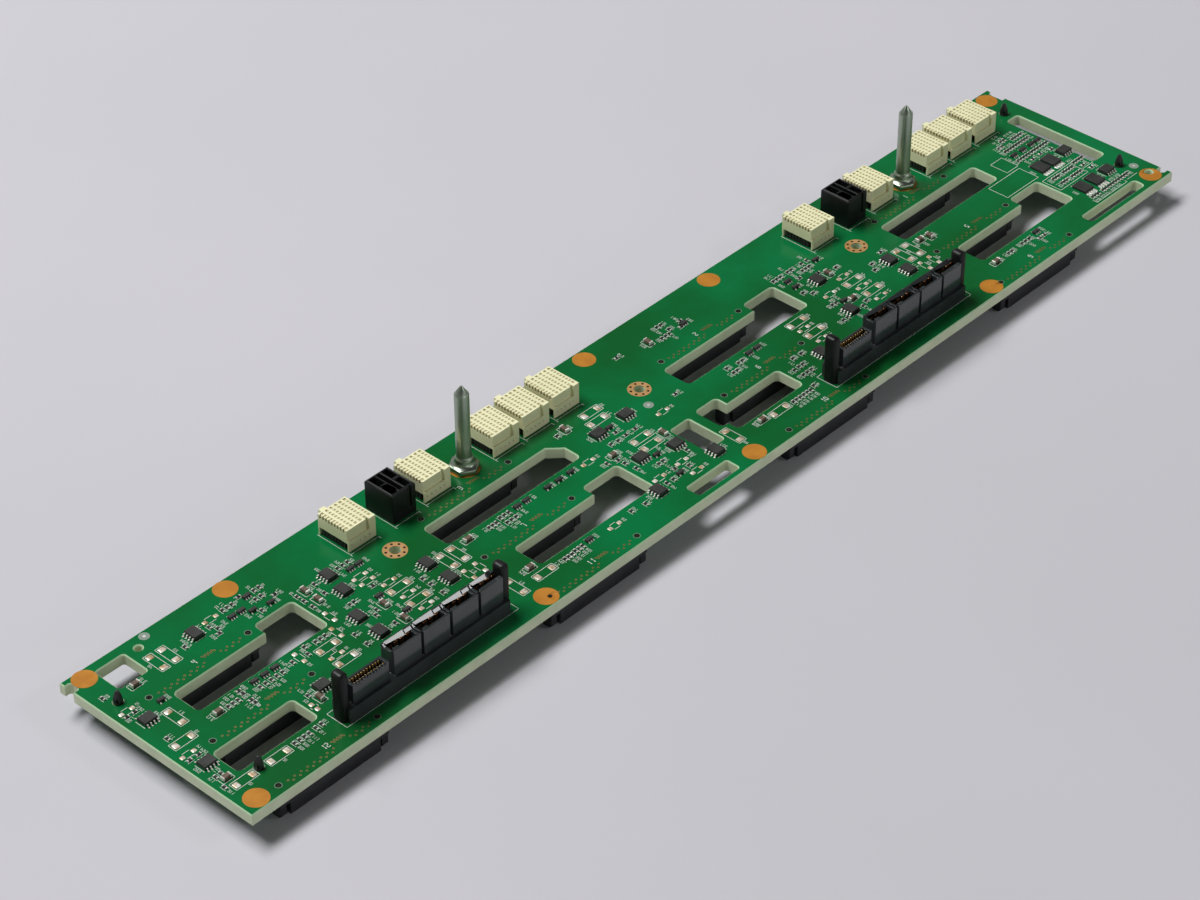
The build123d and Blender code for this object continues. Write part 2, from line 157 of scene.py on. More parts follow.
def board_finish():
    """Green mask on the faces, a pale rim on the bevel, and layered laminate on the cut walls."""
    material = finish(
        "board_mask", (0.003, 0.165, 0.047), (0.004, 0.100, 0.020), 24.0, 1500.0, (0.18, 0.30), 0.08,
        specular=0.25,
    )
    tree = material.node_tree
    shader = tree.nodes["Principled BSDF"]
    mask_colour = shader.inputs["Base Color"].links[0].from_socket
    mask_gloss = shader.inputs["Roughness"].links[0].from_socket
    normal = add(tree, "ShaderNodeNewGeometry").outputs["True Normal"]
    slope = add(tree, "ShaderNodeSeparateXYZ", {0: normal}).outputs["Z"]
    slope = add(tree, "ShaderNodeMath", {0: slope}, operation="ABSOLUTE").outputs[0]
    face = add(tree, "ShaderNodeMath", {0: slope, 1: 0.95}, operation="GREATER_THAN").outputs[0]
    wall = add(tree, "ShaderNodeMath", {0: slope, 1: 0.30}, operation="LESS_THAN").outputs[0]
    where = add(tree, "ShaderNodeTexCoord").outputs["Object"]
    layers = add(
        tree,
        "ShaderNodeTexWave",
        {"Vector": where, "Scale": layer_lines, "Distortion": 0.6, "Detail": 2.0},
        bands_direction="Z",
    ).outputs["Fac"]
    cut = varied(tree, (0.68, 0.74, 0.53), (0.56, 0.62, 0.42), 160.0, 3000.0, 0.6, 0.8)
    layered = blend_colours(tree, layers, cut["Color"], colour(0.56, 0.64, 0.45))
    edge = blend_colours(tree, wall, colour(0.40, 0.58, 0.36), layered)
    tree.links.new(blend_colours(tree, face, edge, mask_colour), shader.inputs["Base Color"])
    tree.links.new(blend_values(tree, face, cut["Roughness"], mask_gloss), shader.inputs["Roughness"])
    return material


def merged_copy(node):
    """A CAD node's shape as one closed mesh in bmesh form, with flat faces made whole."""
    shape = bmesh.new()
    shape.from_mesh(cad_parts[node].data)
    bmesh.ops.remove_doubles(shape, verts=shape.verts, dist=0.001 * mm)
    bmesh.ops.dissolve_limit(
        shape, angle_limit=math.radians(0.5), verts=shape.verts[:], edges=shape.edges[:]
    )
    return shape


def placed(name, data):
    """A new object with its data, linked to the scene."""
    made = bpy.data.objects.new(name, data)
    bpy.context.scene.collection.objects.link(made)
    return made


def new_piece(name, mesh, material=None):
    """Link a finished mesh as a piece of the object."""
    piece = placed(name, mesh)
    if material:
        mesh.materials.clear()
        mesh.materials.append(material)
    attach(piece, "root")
    return piece


def settled_mesh(holder, name):
    """The mesh of an object with its modifiers worked in; the object itself is removed."""
    graph = bpy.context.evaluated_depsgraph_get()
    mesh = bpy.data.meshes.new_from_object(holder.evaluated_get(graph), depsgraph=graph)
    mesh.name = name
    bpy.data.objects.remove(holder)
    return mesh


def outline_loops():
    """The edges of the board's top face as closed loops of points, holes among them."""
    shape = merged_copy("circuit_board")
    shape.normal_update()
    shape.verts.index_update()
    rims = {}
    for edge in shape.edges:
        up = [face.normal.z > 0.9 for face in edge.link_faces]
        if sorted(up) == [False, True] and all(v.co.z > board_high.z - 0.01 * mm for v in edge.verts):
            first, second = edge.verts
            rims.setdefault(first.index, []).append(second.index)
            rims.setdefault(second.index, []).append(first.index)
    shape.verts.ensure_lookup_table()
    loops = []
    while rims:
        start, (here, _) = next(iter(rims.items()))
        loop = [start]
        while here != start:
            step = [n for n in rims[here] if n != loop[-1]][0]
            loop.append(here)
            here = step
        for index in loop:
            rims.pop(index)
        loops.append([shape.verts[i].co.copy() for i in loop])
    shape.free()
    return loops


def round_ends(loop):
    """A slot or window with every cut corner turned into an arc between its straight sides."""
    points = []
    for i, here in enumerate(loop):
        after = loop[(i + 1) % len(loop)]
        before = loop[i - 1]
        points.append(here)
        if min(abs(after.x - here.x), abs(after.y - here.y)) < 0.01 * mm:
            continue
        along = abs(here.y - before.y) < abs(here.x - before.x)
        corner = Vector((after.x, here.y, here.z)) if along else Vector((here.x, after.y, here.z))
        middle = here + after - corner
        for step in range(1, arc_steps):
            turn = 0.5 * math.pi * step / arc_steps
            points.append(middle + (here - middle) * math.cos(turn) + (after - middle) * math.sin(turn))
    return points


def rounded_loop(loop):
    """A drilled hole as a circle and a slot with round ends; other loops stay as they are."""
    centre = sum(loop, Vector()) / len(loop)
    reach = max((p - centre).length for p in loop)
    if len(loop) > drilled_sides:
        return loop
    if reach > drilled_reach:
        return round_ends(loop)
    radius = reach * math.cos(math.pi / len(loop))
    turns = [2 * math.pi * i / round_sides for i in range(round_sides)]
    return [centre + radius * Vector((math.cos(a), math.sin(a), 0)) for a in turns]


def wound(loop, left_turn):
    """The loop in the asked direction, so that the solid always lies on the same side of it."""
    area = sum(a.x * b.y - b.x * a.y for a, b in zip(loop, loop[1:] + loop[:1]))
    return loop if (area > 0) == left_turn else loop[::-1]


def laminate_mesh():
    """The board again from its own outline, with round drilled holes and a bevelled rim."""
    loops = sorted(outline_loops(), key=lambda loop: -max(p.x for p in loop))
    curve = bpy.data.curves.new("laminate_outline", "CURVE")
    curve.dimensions = "2D"
    curve.fill_mode = "BOTH"
    half = (board_high.z - board_low.z) / 2
    curve.extrude = half - rim_width
    curve.bevel_depth = rim_width
    curve.bevel_resolution = 0
    curve.offset = -rim_width
    for number, loop in enumerate(loops):
        points = wound(rounded_loop(loop), number == 0)
        spline = curve.splines.new("POLY")
        spline.points.add(len(points) - 1)
        for point, place in zip(spline.points, points):
            point.co = (place.x, place.y, 0.0, 1.0)
        spline.use_cyclic_u = True
    mesh = settled_mesh(placed("laminate_holder", curve), "board_laminate")
    mesh.transform(Matrix.Translation((0, 0, board_low.z + half)))
    shape = bmesh.new()
    shape.from_mesh(mesh)
    bmesh.ops.remove_doubles(shape, verts=shape.verts, dist=0.001 * mm)
    bmesh.ops.recalc_face_normals(shape, faces=shape.faces)
    shape.to_mesh(mesh)
    shape.free()
    mesh.shade_flat()
    return mesh


laminate = new_piece("board_laminate", laminate_mesh(), board_finish())
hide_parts("circuit_board")


# Drive sockets: twelve black receptacles moulded in glass-filled plastic, under the board.
# Each has a shrouded contact slot that faces down and two pegs in the board, and its
# tails are soldered into plated holes. The board stands on their faces.
socket_nodes = [f"drive_socket_{number}" for number in range(1, 13)]
moulded_edge = 0.14 * mm
contact_pitch, contact_gap = 1.27, 1.55
contact_counts = (25, 2)
contact_block = (0.55, 0.35, 3.6)
contact_middle = (21.3, 2.65, 3.4)


def kept_mesh(shape, name):
    """A bmesh shape as a named mesh."""
    mesh = bpy.data.meshes.new(name)
    shape.to_mesh(mesh)
    shape.free()
    return mesh


def take_out(holder, cut):
    """Take a mesh out of an object by a modifier; gives the tool, which goes once that is settled."""
    tool = placed(holder.name + "_tool", cut)
    taken = holder.modifiers.new("cut", "BOOLEAN")
    taken.operation = "DIFFERENCE"
    taken.solver = "EXACT"
    taken.object = tool
    return tool


def softened_copy(node, edge, cuts=()):
    """A CAD node as a template mesh with its low corner at zero, cut further and with rounded edges."""
    shape = merged_copy(node)
    bmesh.ops.translate(shape, verts=shape.verts, vec=-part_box(node)[0])
    holder = placed(node + "_holder", kept_mesh(shape, node + "_template"))
    tools = [take_out(holder, cut) for cut in cuts]
    rounding = holder.modifiers.new("rounding", "BEVEL")
    rounding.width = edge
    rounding.segments = 2
    rounding.limit_method = "ANGLE"
    rounding.angle_limit = math.radians(35.0)
    finished = settled_mesh(holder, node + "_softened")
    for tool in tools:
        bpy.data.objects.remove(tool)
    finished.shade_flat()
    return finished


def block_mesh(name, blocks):
    """Plain boxes as one mesh; each is (low corner, high corner) in mm."""
    shape = bmesh.new()
    for corners in blocks:
        low, high = (Vector(value * mm for value in corner) for corner in corners)
        middle = Matrix.Translation((low + high) / 2) @ Matrix.Diagonal((high - low).to_4d())
        middle[3][3] = 1.0
        bmesh.ops.create_cube(shape, size=1.0, matrix=middle)
    return kept_mesh(shape, name)


def geometry_tree(name, sizes):
    """An empty geometry tree with named inputs, and its input and output nodes."""
    tree = bpy.data.node_groups.new(name, "GeometryNodeTree")
    tree.interface.new_socket(name="Geometry", in_out="INPUT", socket_type="NodeSocketGeometry")
    for label, kind in sizes.items():
        tree.interface.new_socket(name=label, in_out="INPUT", socket_type=kind)
    tree.interface.new_socket(name="Geometry", in_out="OUTPUT", socket_type="NodeSocketGeometry")
    return tree, tree.nodes.new("NodeGroupInput").outputs, tree.nodes.new("NodeGroupOutput").inputs


def named_value(tree, name, kind):
    return add(tree, "GeometryNodeInputNamedAttribute", {"Name": name}, data_type=kind).outputs["Attribute"]


def closed_tree(tree, given, out, copies):
    """The end of a geometry tree: the copies made real and given their finish."""
    whole = add(tree, "GeometryNodeRealizeInstances", {"Geometry": copies.outputs[0]})
    coating = {"Geometry": whole.outputs[0], "Material": given["Finish"]}
    coated = add(tree, "GeometryNodeSetMaterial", coating)
    tree.links.new(coated.outputs[0], out["Geometry"])
    return tree


def copies_tree():
    """Sets one shape on every place, with the turn and size kept there."""
    tree, given, out = geometry_tree(
        "Copies on places", {"Shape": "NodeSocketObject", "Finish": "NodeSocketMaterial"}
    )
    shape = add(tree, "GeometryNodeObjectInfo", {"Object": given["Shape"], "As Instance": True})
    turn = add(tree, "ShaderNodeCombineXYZ", {"Z": named_value(tree, "turn", "FLOAT")})
    copies = add(
        tree,
        "GeometryNodeInstanceOnPoints",
        {
            "Points": given["Geometry"],
            "Instance": shape.outputs["Geometry"],
            "Rotation": turn.outputs[0],
            "Scale": named_value(tree, "size", "FLOAT_VECTOR"),
        },
    )
    return closed_tree(tree, given, out, copies)


def grid_tree():
    """Sets a grid of plain blocks on every place: rows of contacts, webs and tails."""
    sizes = {"Columns": "NodeSocketInt", "Rows": "NodeSocketInt"}
    sizes.update(dict.fromkeys(("Column Pitch", "Row Pitch"), "NodeSocketFloat"))
    sizes.update({"Block Size": "NodeSocketVector", "Finish": "NodeSocketMaterial"})
    tree, given, out = geometry_tree("Block grid", sizes)

    def span(count, pitch):
        gaps = add(tree, "ShaderNodeMath", {0: given[count], 1: 1.0}, operation="SUBTRACT").outputs[0]
        return add(tree, "ShaderNodeMath", {0: gaps, 1: given[pitch]}, operation="MULTIPLY").outputs[0]

    grid = add(
        tree,
        "GeometryNodeMeshGrid",
        {
            "Size X": span("Columns", "Column Pitch"),
            "Size Y": span("Rows", "Row Pitch"),
            "Vertices X": given["Columns"],
            "Vertices Y": given["Rows"],
        },
    )
    block = add(tree, "GeometryNodeMeshCube", {"Size": given["Block Size"]})
    row = add(
        tree, "GeometryNodeInstanceOnPoints", {"Points": grid.outputs[0], "Instance": block.outputs[0]}
    )
    rows = add(
        tree, "GeometryNodeInstanceOnPoints", {"Points": given["Geometry"], "Instance": row.outputs[0]}
    )
    return closed_tree(tree, given, out, rows)


copies = copies_tree()
block_grid = grid_tree()


def grown(name, tree, places, values):
    """Run a geometry tree over places, each (point, turn, size), and keep it as a plain piece."""
    points = bpy.data.meshes.new(name + "_places")
    points.from_pydata([place for place, _, _ in places], [], [])
    turns = points.attributes.new("turn", "FLOAT", "POINT")
    turns.data.foreach_set("value", [turn for _, turn, _ in places])
    sizes = points.attributes.new("size", "FLOAT_VECTOR", "POINT")
    sizes.data.foreach_set("vector", [value for _, _, size in places for value in size])
    holder = placed(name + "_holder", points)
    growth = holder.modifiers.new("growth", "NODES")
    growth.node_group = tree
    for item in tree.interface.items_tree:
        if item.in_out == "INPUT" and item.name in values:
            growth[item.identifier] = values[item.name]
    return new_piece(name, settled_mesh(holder, name), None)


def set_out(name, template, places, material):
    """Copies of a template mesh on places, as one piece."""
    pattern = bpy.data.objects.new(name + "_pattern", template)
    piece = grown(name, copies, places, {"Shape": pattern, "Finish": material})
    bpy.data.objects.remove(pattern)
    return piece


def corners_of(nodes, offset=(0, 0, 0)):
    """The low corner of each node as a place, moved by an offset in mm."""
    moved = Vector(offset) * mm
    return [(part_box(node)[0] + moved, 0.0, (1, 1, 1)) for node in nodes]


def block_rows(name, nodes, middle, counts, pitches, block, material):
    """A grid of plain blocks about the same place of every node, as one piece; sizes in mm."""
    values = {
        "Columns": counts[0],
        "Rows": counts[1],
        "Column Pitch": pitches[0] * mm,
        "Row Pitch": pitches[1] * mm,
        "Block Size": tuple(size * mm for size in block),
        "Finish": material,
    }
    return grown(name, block_grid, corners_of(nodes, middle), values)


socket_plastic = finish(
    "socket_plastic", (0.012, 0.013, 0.016), (0.019, 0.020, 0.023), 200.0, 5000.0, (0.42, 0.58), 0.25
)
contact_metal = finish(
    "contact_metal", (0.78, 0.50, 0.16), (0.62, 0.37, 0.10), 300.0, 4000.0, (0.25, 0.40), 0.1, 1.0
)
socket_shape = softened_copy("drive_socket_1", moulded_edge)
sockets = set_out(
    "drive_sockets", socket_shape, corners_of(socket_nodes), socket_plastic
)
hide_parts(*socket_nodes)
block_rows(
    "drive_socket_contacts",
    socket_nodes,
    contact_middle,
    contact_counts,
    (contact_pitch, contact_gap),
    contact_block,
    contact_metal,
)


# Signal headers: ten cream press-fit headers for the controller boards, in two groups.
# The moulding has a perforated face of six by nine contact chambers, a comb along one
# side and a keyed rib. It stands on two thin legs with its tails between them.
header_nodes = [f"signal_header_{group}{number}" for group in "ab" for number in range(1, 6)]
chamber_columns, chamber_rows = 6, 9
chamber_pitch = (1.9, 1.289)
chamber_start = (0.575, 1.25)
chamber_width = 0.95
header_top = 8.0
header_edge = 0.09 * mm
web_block, web_depth = (chamber_width + 0.04, 0.55, 1.96), 1.01
plate_block, plate_depth = (0.93, 0.70, 1.1), 0.77
comb_block, comb_depth, comb_along = (0.34, 0.70, 0.90), 0.78, 0.30
tail_block, tail_middle = (1.2, 0.9, 3.08), 1.56


def chamber_middle(column, row):
    """The middle of a contact chamber, in mm from the header's low corner."""
    return (
        chamber_start[0] + 0.5 * chamber_width + column * chamber_pitch[0],
        chamber_start[1] + (row + 0.5) * chamber_pitch[1],
    )


def header_cuts():
    """The comb along the left top edge, the front's dimples, ledge and groove, and the open foot."""
    past, above = 0.1, 8.2
    notch_half, notch_depth, notch_floor = 0.36, 0.46, 6.75
    dimple_count, first_dimple, dimple_half = 5, 1.3, 0.22
    dimple_depth, dimple_low, dimple_high = 0.5, 1.75, 2.25
    shelf, ledge_end, ledge_depth = 4.0, 9.0, 0.55
    groove_start, groove_depth = 8.1, 1.05
    leg, tunnel_end, tunnel_back, tunnel_height = 0.5, 11.7, 12.9, 3.1
    notches = []
    for row in range(chamber_rows):
        across = chamber_middle(0, row)[1]
        low = (-2 * past, across - notch_half, notch_floor)
        notches.append((low, (notch_depth, across + notch_half, above)))
    dimples = []
    for column in range(dimple_count):
        along = first_dimple + chamber_pitch[0] * column
        low = (along - dimple_half, -2 * past, dimple_low)
        dimples.append((low, (along + dimple_half, dimple_depth, dimple_high)))
    cuts = {
        "notches": notches,
        "dimples": dimples,
        "ledge": [((-past, -past, shelf), (ledge_end, ledge_depth, above))],
        "groove": [((groove_start, -past, shelf), (ledge_end, groove_depth, above))],
        "tunnel": [((-past, leg, -past), (tunnel_end, tunnel_back, tunnel_height))],
    }
    return [block_mesh("header_" + name, blocks) for name, blocks in cuts.items()]


cream = finish("header_cream", (0.84, 0.82, 0.53), (0.78, 0.76, 0.48), 120.0, 3500.0, (0.42, 0.56), 0.2)
chamber_metal = finish(
    "chamber_metal", (0.54, 0.48, 0.28), (0.45, 0.39, 0.21), 300.0, 4000.0, (0.45, 0.6), 0.1, 0.1
)
comb_brown = finish(
    "comb_brown", (0.34, 0.27, 0.11), (0.26, 0.20, 0.08), 300.0, 3000.0, (0.5, 0.7), 0.1
)
# The tails in the open foot are painted near black: painted shade under the header, not their metal's
# colour.
tail_metal = finish(
    "tail_metal", (0.020, 0.018, 0.014), (0.012, 0.011, 0.010), 300.0, 3000.0, (0.5, 0.7), 0.1
)
header_shape = softened_copy("signal_header_a1", header_edge, header_cuts())
headers = set_out("signal_headers", header_shape, corners_of(header_nodes), cream)
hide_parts(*header_nodes)
centre = chamber_middle((chamber_columns - 1) / 2, (chamber_rows - 1) / 2)
chambers, between = (chamber_columns, chamber_rows), (chamber_columns, chamber_rows - 1)
web_middle = (*centre, header_top - web_depth)
plate_middle = (*centre, header_top - plate_depth)
comb_middle = (comb_along, centre[1], header_top - comb_depth)
header_rows = [
    ("header_webs", web_middle, between, web_block, cream, "header_cream"),
    ("header_contacts", plate_middle, chambers, plate_block, chamber_metal, "contact_gold"),
    ("header_combs", comb_middle, (1, chamber_rows), comb_block, comb_brown, "contact_gold"),
    ("header_tails", (*centre, tail_middle), between, tail_block, tail_metal, "contact_gold"),
]
for name, middle, counts, block, material, slot in header_rows:
    block_rows(name, header_nodes, middle, counts, chamber_pitch, block, material)


# Power headers: two tall black headers with open pockets on both sides of a long trough.
# Each is one moulding in matt plastic, and its tails are soldered into the board.
power_nodes = ["power_header_a", "power_header_b"]
power_edge = 0.16 * mm
housing = finish(
    "housing_black", (0.004, 0.0045, 0.0045), (0.008, 0.009, 0.009), 160.0, 4500.0, (0.38, 0.55), 0.3,
    specular=0.25,
)
power_header = softened_copy("power_header_a", power_edge)
power_headers = set_out(
    "power_headers", power_header, corners_of(power_nodes), housing
)
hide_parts(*power_nodes)


# Guide pins: two turned steel pins with a bright plated finish, which steer the controller.
# A pin has a cone tip, a plain shaft, a collar with a fillet and a hexagon flange; a
# threaded stud goes through the board into a nut on the underside.
pin_nodes = ["guide_pin_a", "guide_pin_b"]
pin_sides = 56
steel = finish("pin_steel", (0.38, 0.44, 0.36), (0.33, 0.39, 0.31), 50.0, 2500.0, (0.32, 0.37), 0.02, 1.0)


def shaded(mesh, sharp=32.0):
    """A mesh with smooth faces, and sharp edges where these turn by more than so many degrees."""
    mesh.shade_smooth()
    mesh.set_sharp_from_angle(angle=math.radians(sharp))
    return mesh


def turned_mesh(name, profile, sides):
    """A closed turned shape about Z from (radius, height) pairs in mm, from the bottom centre up."""
    shape = bmesh.new()
    points = [shape.verts.new((radius * mm, 0, height * mm)) for radius, height in profile]
    lines = [shape.edges.new(pair) for pair in zip(points, points[1:])]
    bmesh.ops.spin(
        shape,
        geom=points + lines,
        angle=2 * math.pi,
        steps=sides,
        axis=(0, 0, 1),
        cent=(0, 0, 0),
        use_duplicate=False,
    )
    bmesh.ops.remove_doubles(shape, verts=shape.verts, dist=0.0005 * mm)
    bmesh.ops.recalc_face_normals(shape, faces=shape.faces)
    if shape.calc_volume(signed=True) < 0:
        bmesh.ops.reverse_faces(shape, faces=shape.faces)
    return shaded(kept_mesh(shape, name))


def joined_mesh(name, meshes):
    """Several meshes as one."""
    shape = bmesh.new()
    for mesh in meshes:
        shape.from_mesh(mesh)
    return shaded(kept_mesh(shape, name))


def close_rings(shape, rings):
    """Faces under the lowest ring of points, over the highest and between each and the next."""
    shape.faces.new(rings[0][::-1])
    shape.faces.new(rings[-1])
    for lower, upper in zip(rings, rings[1:]):
        for i in range(len(lower)):
            j = (i + 1) % len(lower)
            shape.faces.new((lower[i], lower[j], upper[j], upper[i]))


def prism_mesh(name, sides, across, low, high, edge):
    """A plain prism about Z with rounded edges: across flats, from low to high, all in mm."""
    radius = across / 2 / math.cos(math.pi / sides)
    shape = bmesh.new()
    turns = [2 * math.pi * (i + 0.5) / sides for i in range(sides)]
    rings = []
    for height in (low, high):
        corners = [(radius * math.cos(a) * mm, radius * math.sin(a) * mm, height * mm) for a in turns]
        rings.append([shape.verts.new(corner) for corner in corners])
    close_rings(shape, rings)
    bmesh.ops.bevel(shape, geom=shape.edges[:], offset=edge * mm, segments=3, profile=0.5, affect="EDGES")
    bmesh.ops.recalc_face_normals(shape, faces=shape.faces)
    return shaded(kept_mesh(shape, name))


flange_across, flange_height = 9.2, 2.1
collar_radius, collar_top = 3.05, 4.9
shaft_radius = 2.45
pin_height = (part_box("guide_pin_a")[1].z - board_high.z) / mm
pin_profile = [
    (0.0, -7.45),
    (1.7, -7.45),
    (1.88, -7.2),
    (1.88, 0.0),
    (4.4, 0.0),
    (4.4, flange_height - 0.1),
    (4.2, flange_height + 0.05),
    (3.8, flange_height + 0.25),
    (3.45, flange_height + 0.55),
    (3.22, flange_height + 0.95),
    (collar_radius, flange_height + 1.5),
    (collar_radius, collar_top - 0.5),
    (collar_radius - 0.12, collar_top - 0.25),
    (shaft_radius + 0.2, collar_top),
    (shaft_radius + 0.05, collar_top + 0.25),
    (shaft_radius, collar_top + 0.6),
    (shaft_radius, pin_height - 3.05),
    (shaft_radius - 0.06, pin_height - 2.9),
    (0.42, pin_height - 0.14),
    (0.28, pin_height - 0.03),
    (0.0, pin_height),
]
pin_shape = joined_mesh(
    "guide_pin_shape",
    [
        turned_mesh("pin_turning", pin_profile, pin_sides),
        prism_mesh("pin_flange", 6, flange_across, 0.0, flange_height, 0.55),
    ],
)


def middles_of(nodes, height):
    """The middle of each node's box at a stated height above the board."""
    places = []
    for node in nodes:
        low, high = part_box(node)
        middle = (low + high) / 2
        places.append((Vector((middle.x, middle.y, board_high.z + height * mm)), 0.0, (1, 1, 1)))
    return places


pins = set_out("guide_pins", pin_shape, middles_of(pin_nodes, 0.0), steel)
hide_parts(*pin_nodes)
board_thickness = (board_high.z - board_low.z) / mm
nut_shape = prism_mesh("nut_shape", 6, 7.0, -2.65, -0.05, 0.3)
nuts = set_out("pin_nuts", nut_shape, middles_of(pin_nodes, -board_thickness), steel)
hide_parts("guide_pin_nuts")


# Supply sockets: two long black receptacles that take the edge of the supply board.
# Each is one moulding: a plinth, two end posts, a signal section and four power sections
# with a wide lead-in. Gold springs line the signal slot and copper blades the power slots.
supply_nodes = ["supply_socket_1", "supply_socket_2"]
copper_blade = finish(
    "blade_copper", (0.42, 0.20, 0.085), (0.28, 0.12, 0.05), 260.0, 4000.0, (0.28, 0.42), 0.1, 1.0
)
smooth_housing = finish(
    "housing_smooth", (0.027, 0.032, 0.033), (0.035, 0.040, 0.042), 160.0, 4500.0, (0.10, 0.14), 0.04
)
supply_length, post_length, post_width = 69.6, 3.4, 5.0
post_height, post_round, post_dome = 17.5, 1.45, 1.2
plinth_height, body_middle, section_top = 5.2, 3.85, 14.6
supply_edge, spring_edge, blade_edge = 0.13 * mm, 0.08 * mm, 0.10 * mm
spring_pitch, first_spring, spring_count = 12.6 / 11, 5.1 + 12.6 / 22, 11
power_left, power_pitch, power_sections = 20.8, 11.9, 4


def wedge_mesh(name, profile, spans):
    """Prisms along X with one side profile (across, height) in mm, one for each (from, to) span."""
    shape = bmesh.new()
    for start, end in spans:
        near = [shape.verts.new((start * mm, across * mm, height * mm)) for across, height in profile]
        far = [shape.verts.new((end * mm, across * mm, height * mm)) for across, height in profile]
        shape.faces.new(near)
        shape.faces.new(far[::-1])
        for i in range(len(profile)):
            j = (i + 1) % len(profile)
            shape.faces.new((near[j], near[i], far[i], far[j]))
    bmesh.ops.recalc_face_normals(shape, faces=shape.faces)
    return kept_mesh(shape, name)


def supply_cuts():
    """The signal section's comb, the power sections' lead-ins and gaps, and room for the end posts."""
    past = 0.1
    slot_half, slot_front, slot_back = 0.29, 1.0, 2.0
    slot_floor, slot_top = 11.35, 12.4
    lead_start, lead_end = 0.8, 8.7
    gap_before, gap_after, gap_depth, gap_floor = 0.85, 0.30, 2.3, 5.25
    room_depth, room_top = 8.0, 18.0

    def at_both_ends(reach, low, high):
        """A box at each end of the socket, between two heights."""
        spans = ((-past, reach), (supply_length - reach, supply_length + past))
        return [((start, -past, low), (end, room_depth, high)) for start, end in spans]

    comb = []
    for i in range(spring_count):
        along = first_spring + i * spring_pitch
        low = (along - slot_half, slot_front, slot_floor)
        comb.append((low, (along + slot_half, slot_back, slot_top)))
    starts = [power_left + i * power_pitch for i in range(power_sections)]
    gaps = []
    for start in starts[1:]:
        low = (start - gap_before, -past, gap_floor)
        gaps.append((low, (start + gap_after, gap_depth, section_top)))
    slope = [(4.9, 12.9), (6.42, 14.42), (6.42, section_top), (4.9, section_top)]
    return [
        block_mesh("signal_comb", comb),
        wedge_mesh("lead_in", slope, [(start + lead_start, start + lead_end) for start in starts]),
        block_mesh("section_gaps", gaps),
        block_mesh("post_room", at_both_ends(post_length + past, plinth_height - 0.05, room_top)),
        block_mesh("post_foot_room", at_both_ends(post_length / 2, -past, plinth_height + 0.2)),
    ]


def post_mesh():
    """An end post with round corners and a domed top, standing on its middle."""
    shape = bmesh.new()
    size = Matrix.Diagonal((post_length * mm, post_width * mm, post_height * mm, 1.0))
    bmesh.ops.create_cube(shape, size=1.0, matrix=Matrix.Translation((0, 0, post_height / 2 * mm)) @ size)
    upright = [edge for edge in shape.edges if abs(edge.verts[0].co.z - edge.verts[1].co.z) > mm]
    bmesh.ops.bevel(shape, geom=upright, offset=post_round * mm, segments=5, profile=0.5, affect="EDGES")
    rim = [edge for edge in shape.edges if all(v.co.z > (post_height - 0.1) * mm for v in edge.verts)]
    bmesh.ops.bevel(shape, geom=rim, offset=post_dome * mm, segments=4, profile=0.5, affect="EDGES")
    return shaded(kept_mesh(shape, "supply_post_shape"), 40.0)


supply_sockets = set_out(
    "supply_sockets",
    softened_copy("supply_socket_1", supply_edge, supply_cuts()),
    corners_of(supply_nodes),
    smooth_housing,
)
supply_posts = corners_of(supply_nodes, (post_length / 2, body_middle, 0))
supply_posts += corners_of(supply_nodes, (supply_length - post_length / 2, body_middle, 0))
set_out("supply_posts", post_mesh(), supply_posts, housing)
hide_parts(*supply_nodes)
spring_nodes = ["supply_signal_contacts_1", "supply_signal_contacts_2"]


def spring_finish():
    """Gold on the tips of the springs; lower in the slot the metal is painted near black as painted shade.
    """
    material = finish(
        "spring_gold", (0.74, 0.50, 0.20), (0.60, 0.38, 0.14), 300.0, 4000.0, (0.25, 0.40), 0.1, 0.5
    )
    tree = material.node_tree
    shader = tree.nodes["Principled BSDF"]
    gold = shader.inputs["Base Color"].links[0].from_socket
    where = add(tree, "ShaderNodeTexCoord").outputs["Object"]
    height = add(tree, "ShaderNodeSeparateXYZ", {0: where}).outputs["Z"]
    gold_from = board_high.z + 10.5 * mm
    gold_heights = {"Value": height, "From Min": gold_from, "From Max": gold_from + 0.5 * mm}
    above_painted_shade = add(tree, "ShaderNodeMapRange", gold_heights).outputs[0]
    # Below the gold, the springs are painted near black: painted shade of the deep slot.
    shown = blend_colours(tree, above_painted_shade, colour(0.035, 0.024, 0.012), gold)
    tree.links.new(shown, shader.inputs["Base Color"])
    return material


springs = set_out(
    "supply_springs",
    softened_copy("supply_signal_contacts_1", spring_edge),
    corners_of(spring_nodes),
    spring_finish(),
)
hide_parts(*spring_nodes)
blade_nodes = ["supply_power_contacts_1", "supply_power_contacts_2"]
blades = set_out(
    "supply_blades",
    softened_copy("supply_power_contacts_1", blade_edge),
    corners_of(blade_nodes),
    copper_blade,
)
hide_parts(*blade_nodes)


# Snap posts: four black nylon posts pushed up through the board to hold it in its tray.
# A round head stays under the board; the split, barbed tip stands above it.
nylon = finish("post_nylon", (0.010, 0.011, 0.011), (0.016, 0.017, 0.017), 200.0, 4000.0, (0.35, 0.5), 0.2)


def solids_of(node):
    """Lowest and highest corner of each separate solid in a CAD node."""
    shape = merged_copy(node)
    left = set(shape.verts)
    boxes = []
    while left:
        front = [left.pop()]
        points = []
        while front:
            here = front.pop()
            points.append(here.co.copy())
            near = {edge.other_vert(here) for edge in here.link_edges} & left
            left -= near
            front.extend(near)
        low = Vector(min(p[i] for p in points) for i in range(3))
        high = Vector(max(p[i] for p in points) for i in range(3))
        boxes.append((low, high))
    shape.free()
    return sorted(boxes, key=lambda box: tuple(box[0]))


def standing_on_board(boxes):
    """A place for each box: its middle on the board, turned a quarter where it is longer across."""
    places = []
    for low, high in boxes:
        middle = (low + high) / 2
        size = high - low
        turn = 0.0 if size.x >= size.y else math.pi / 2
        places.append((Vector((middle.x, middle.y, board_high.z)), turn, (1, 1, 1)))
    return places


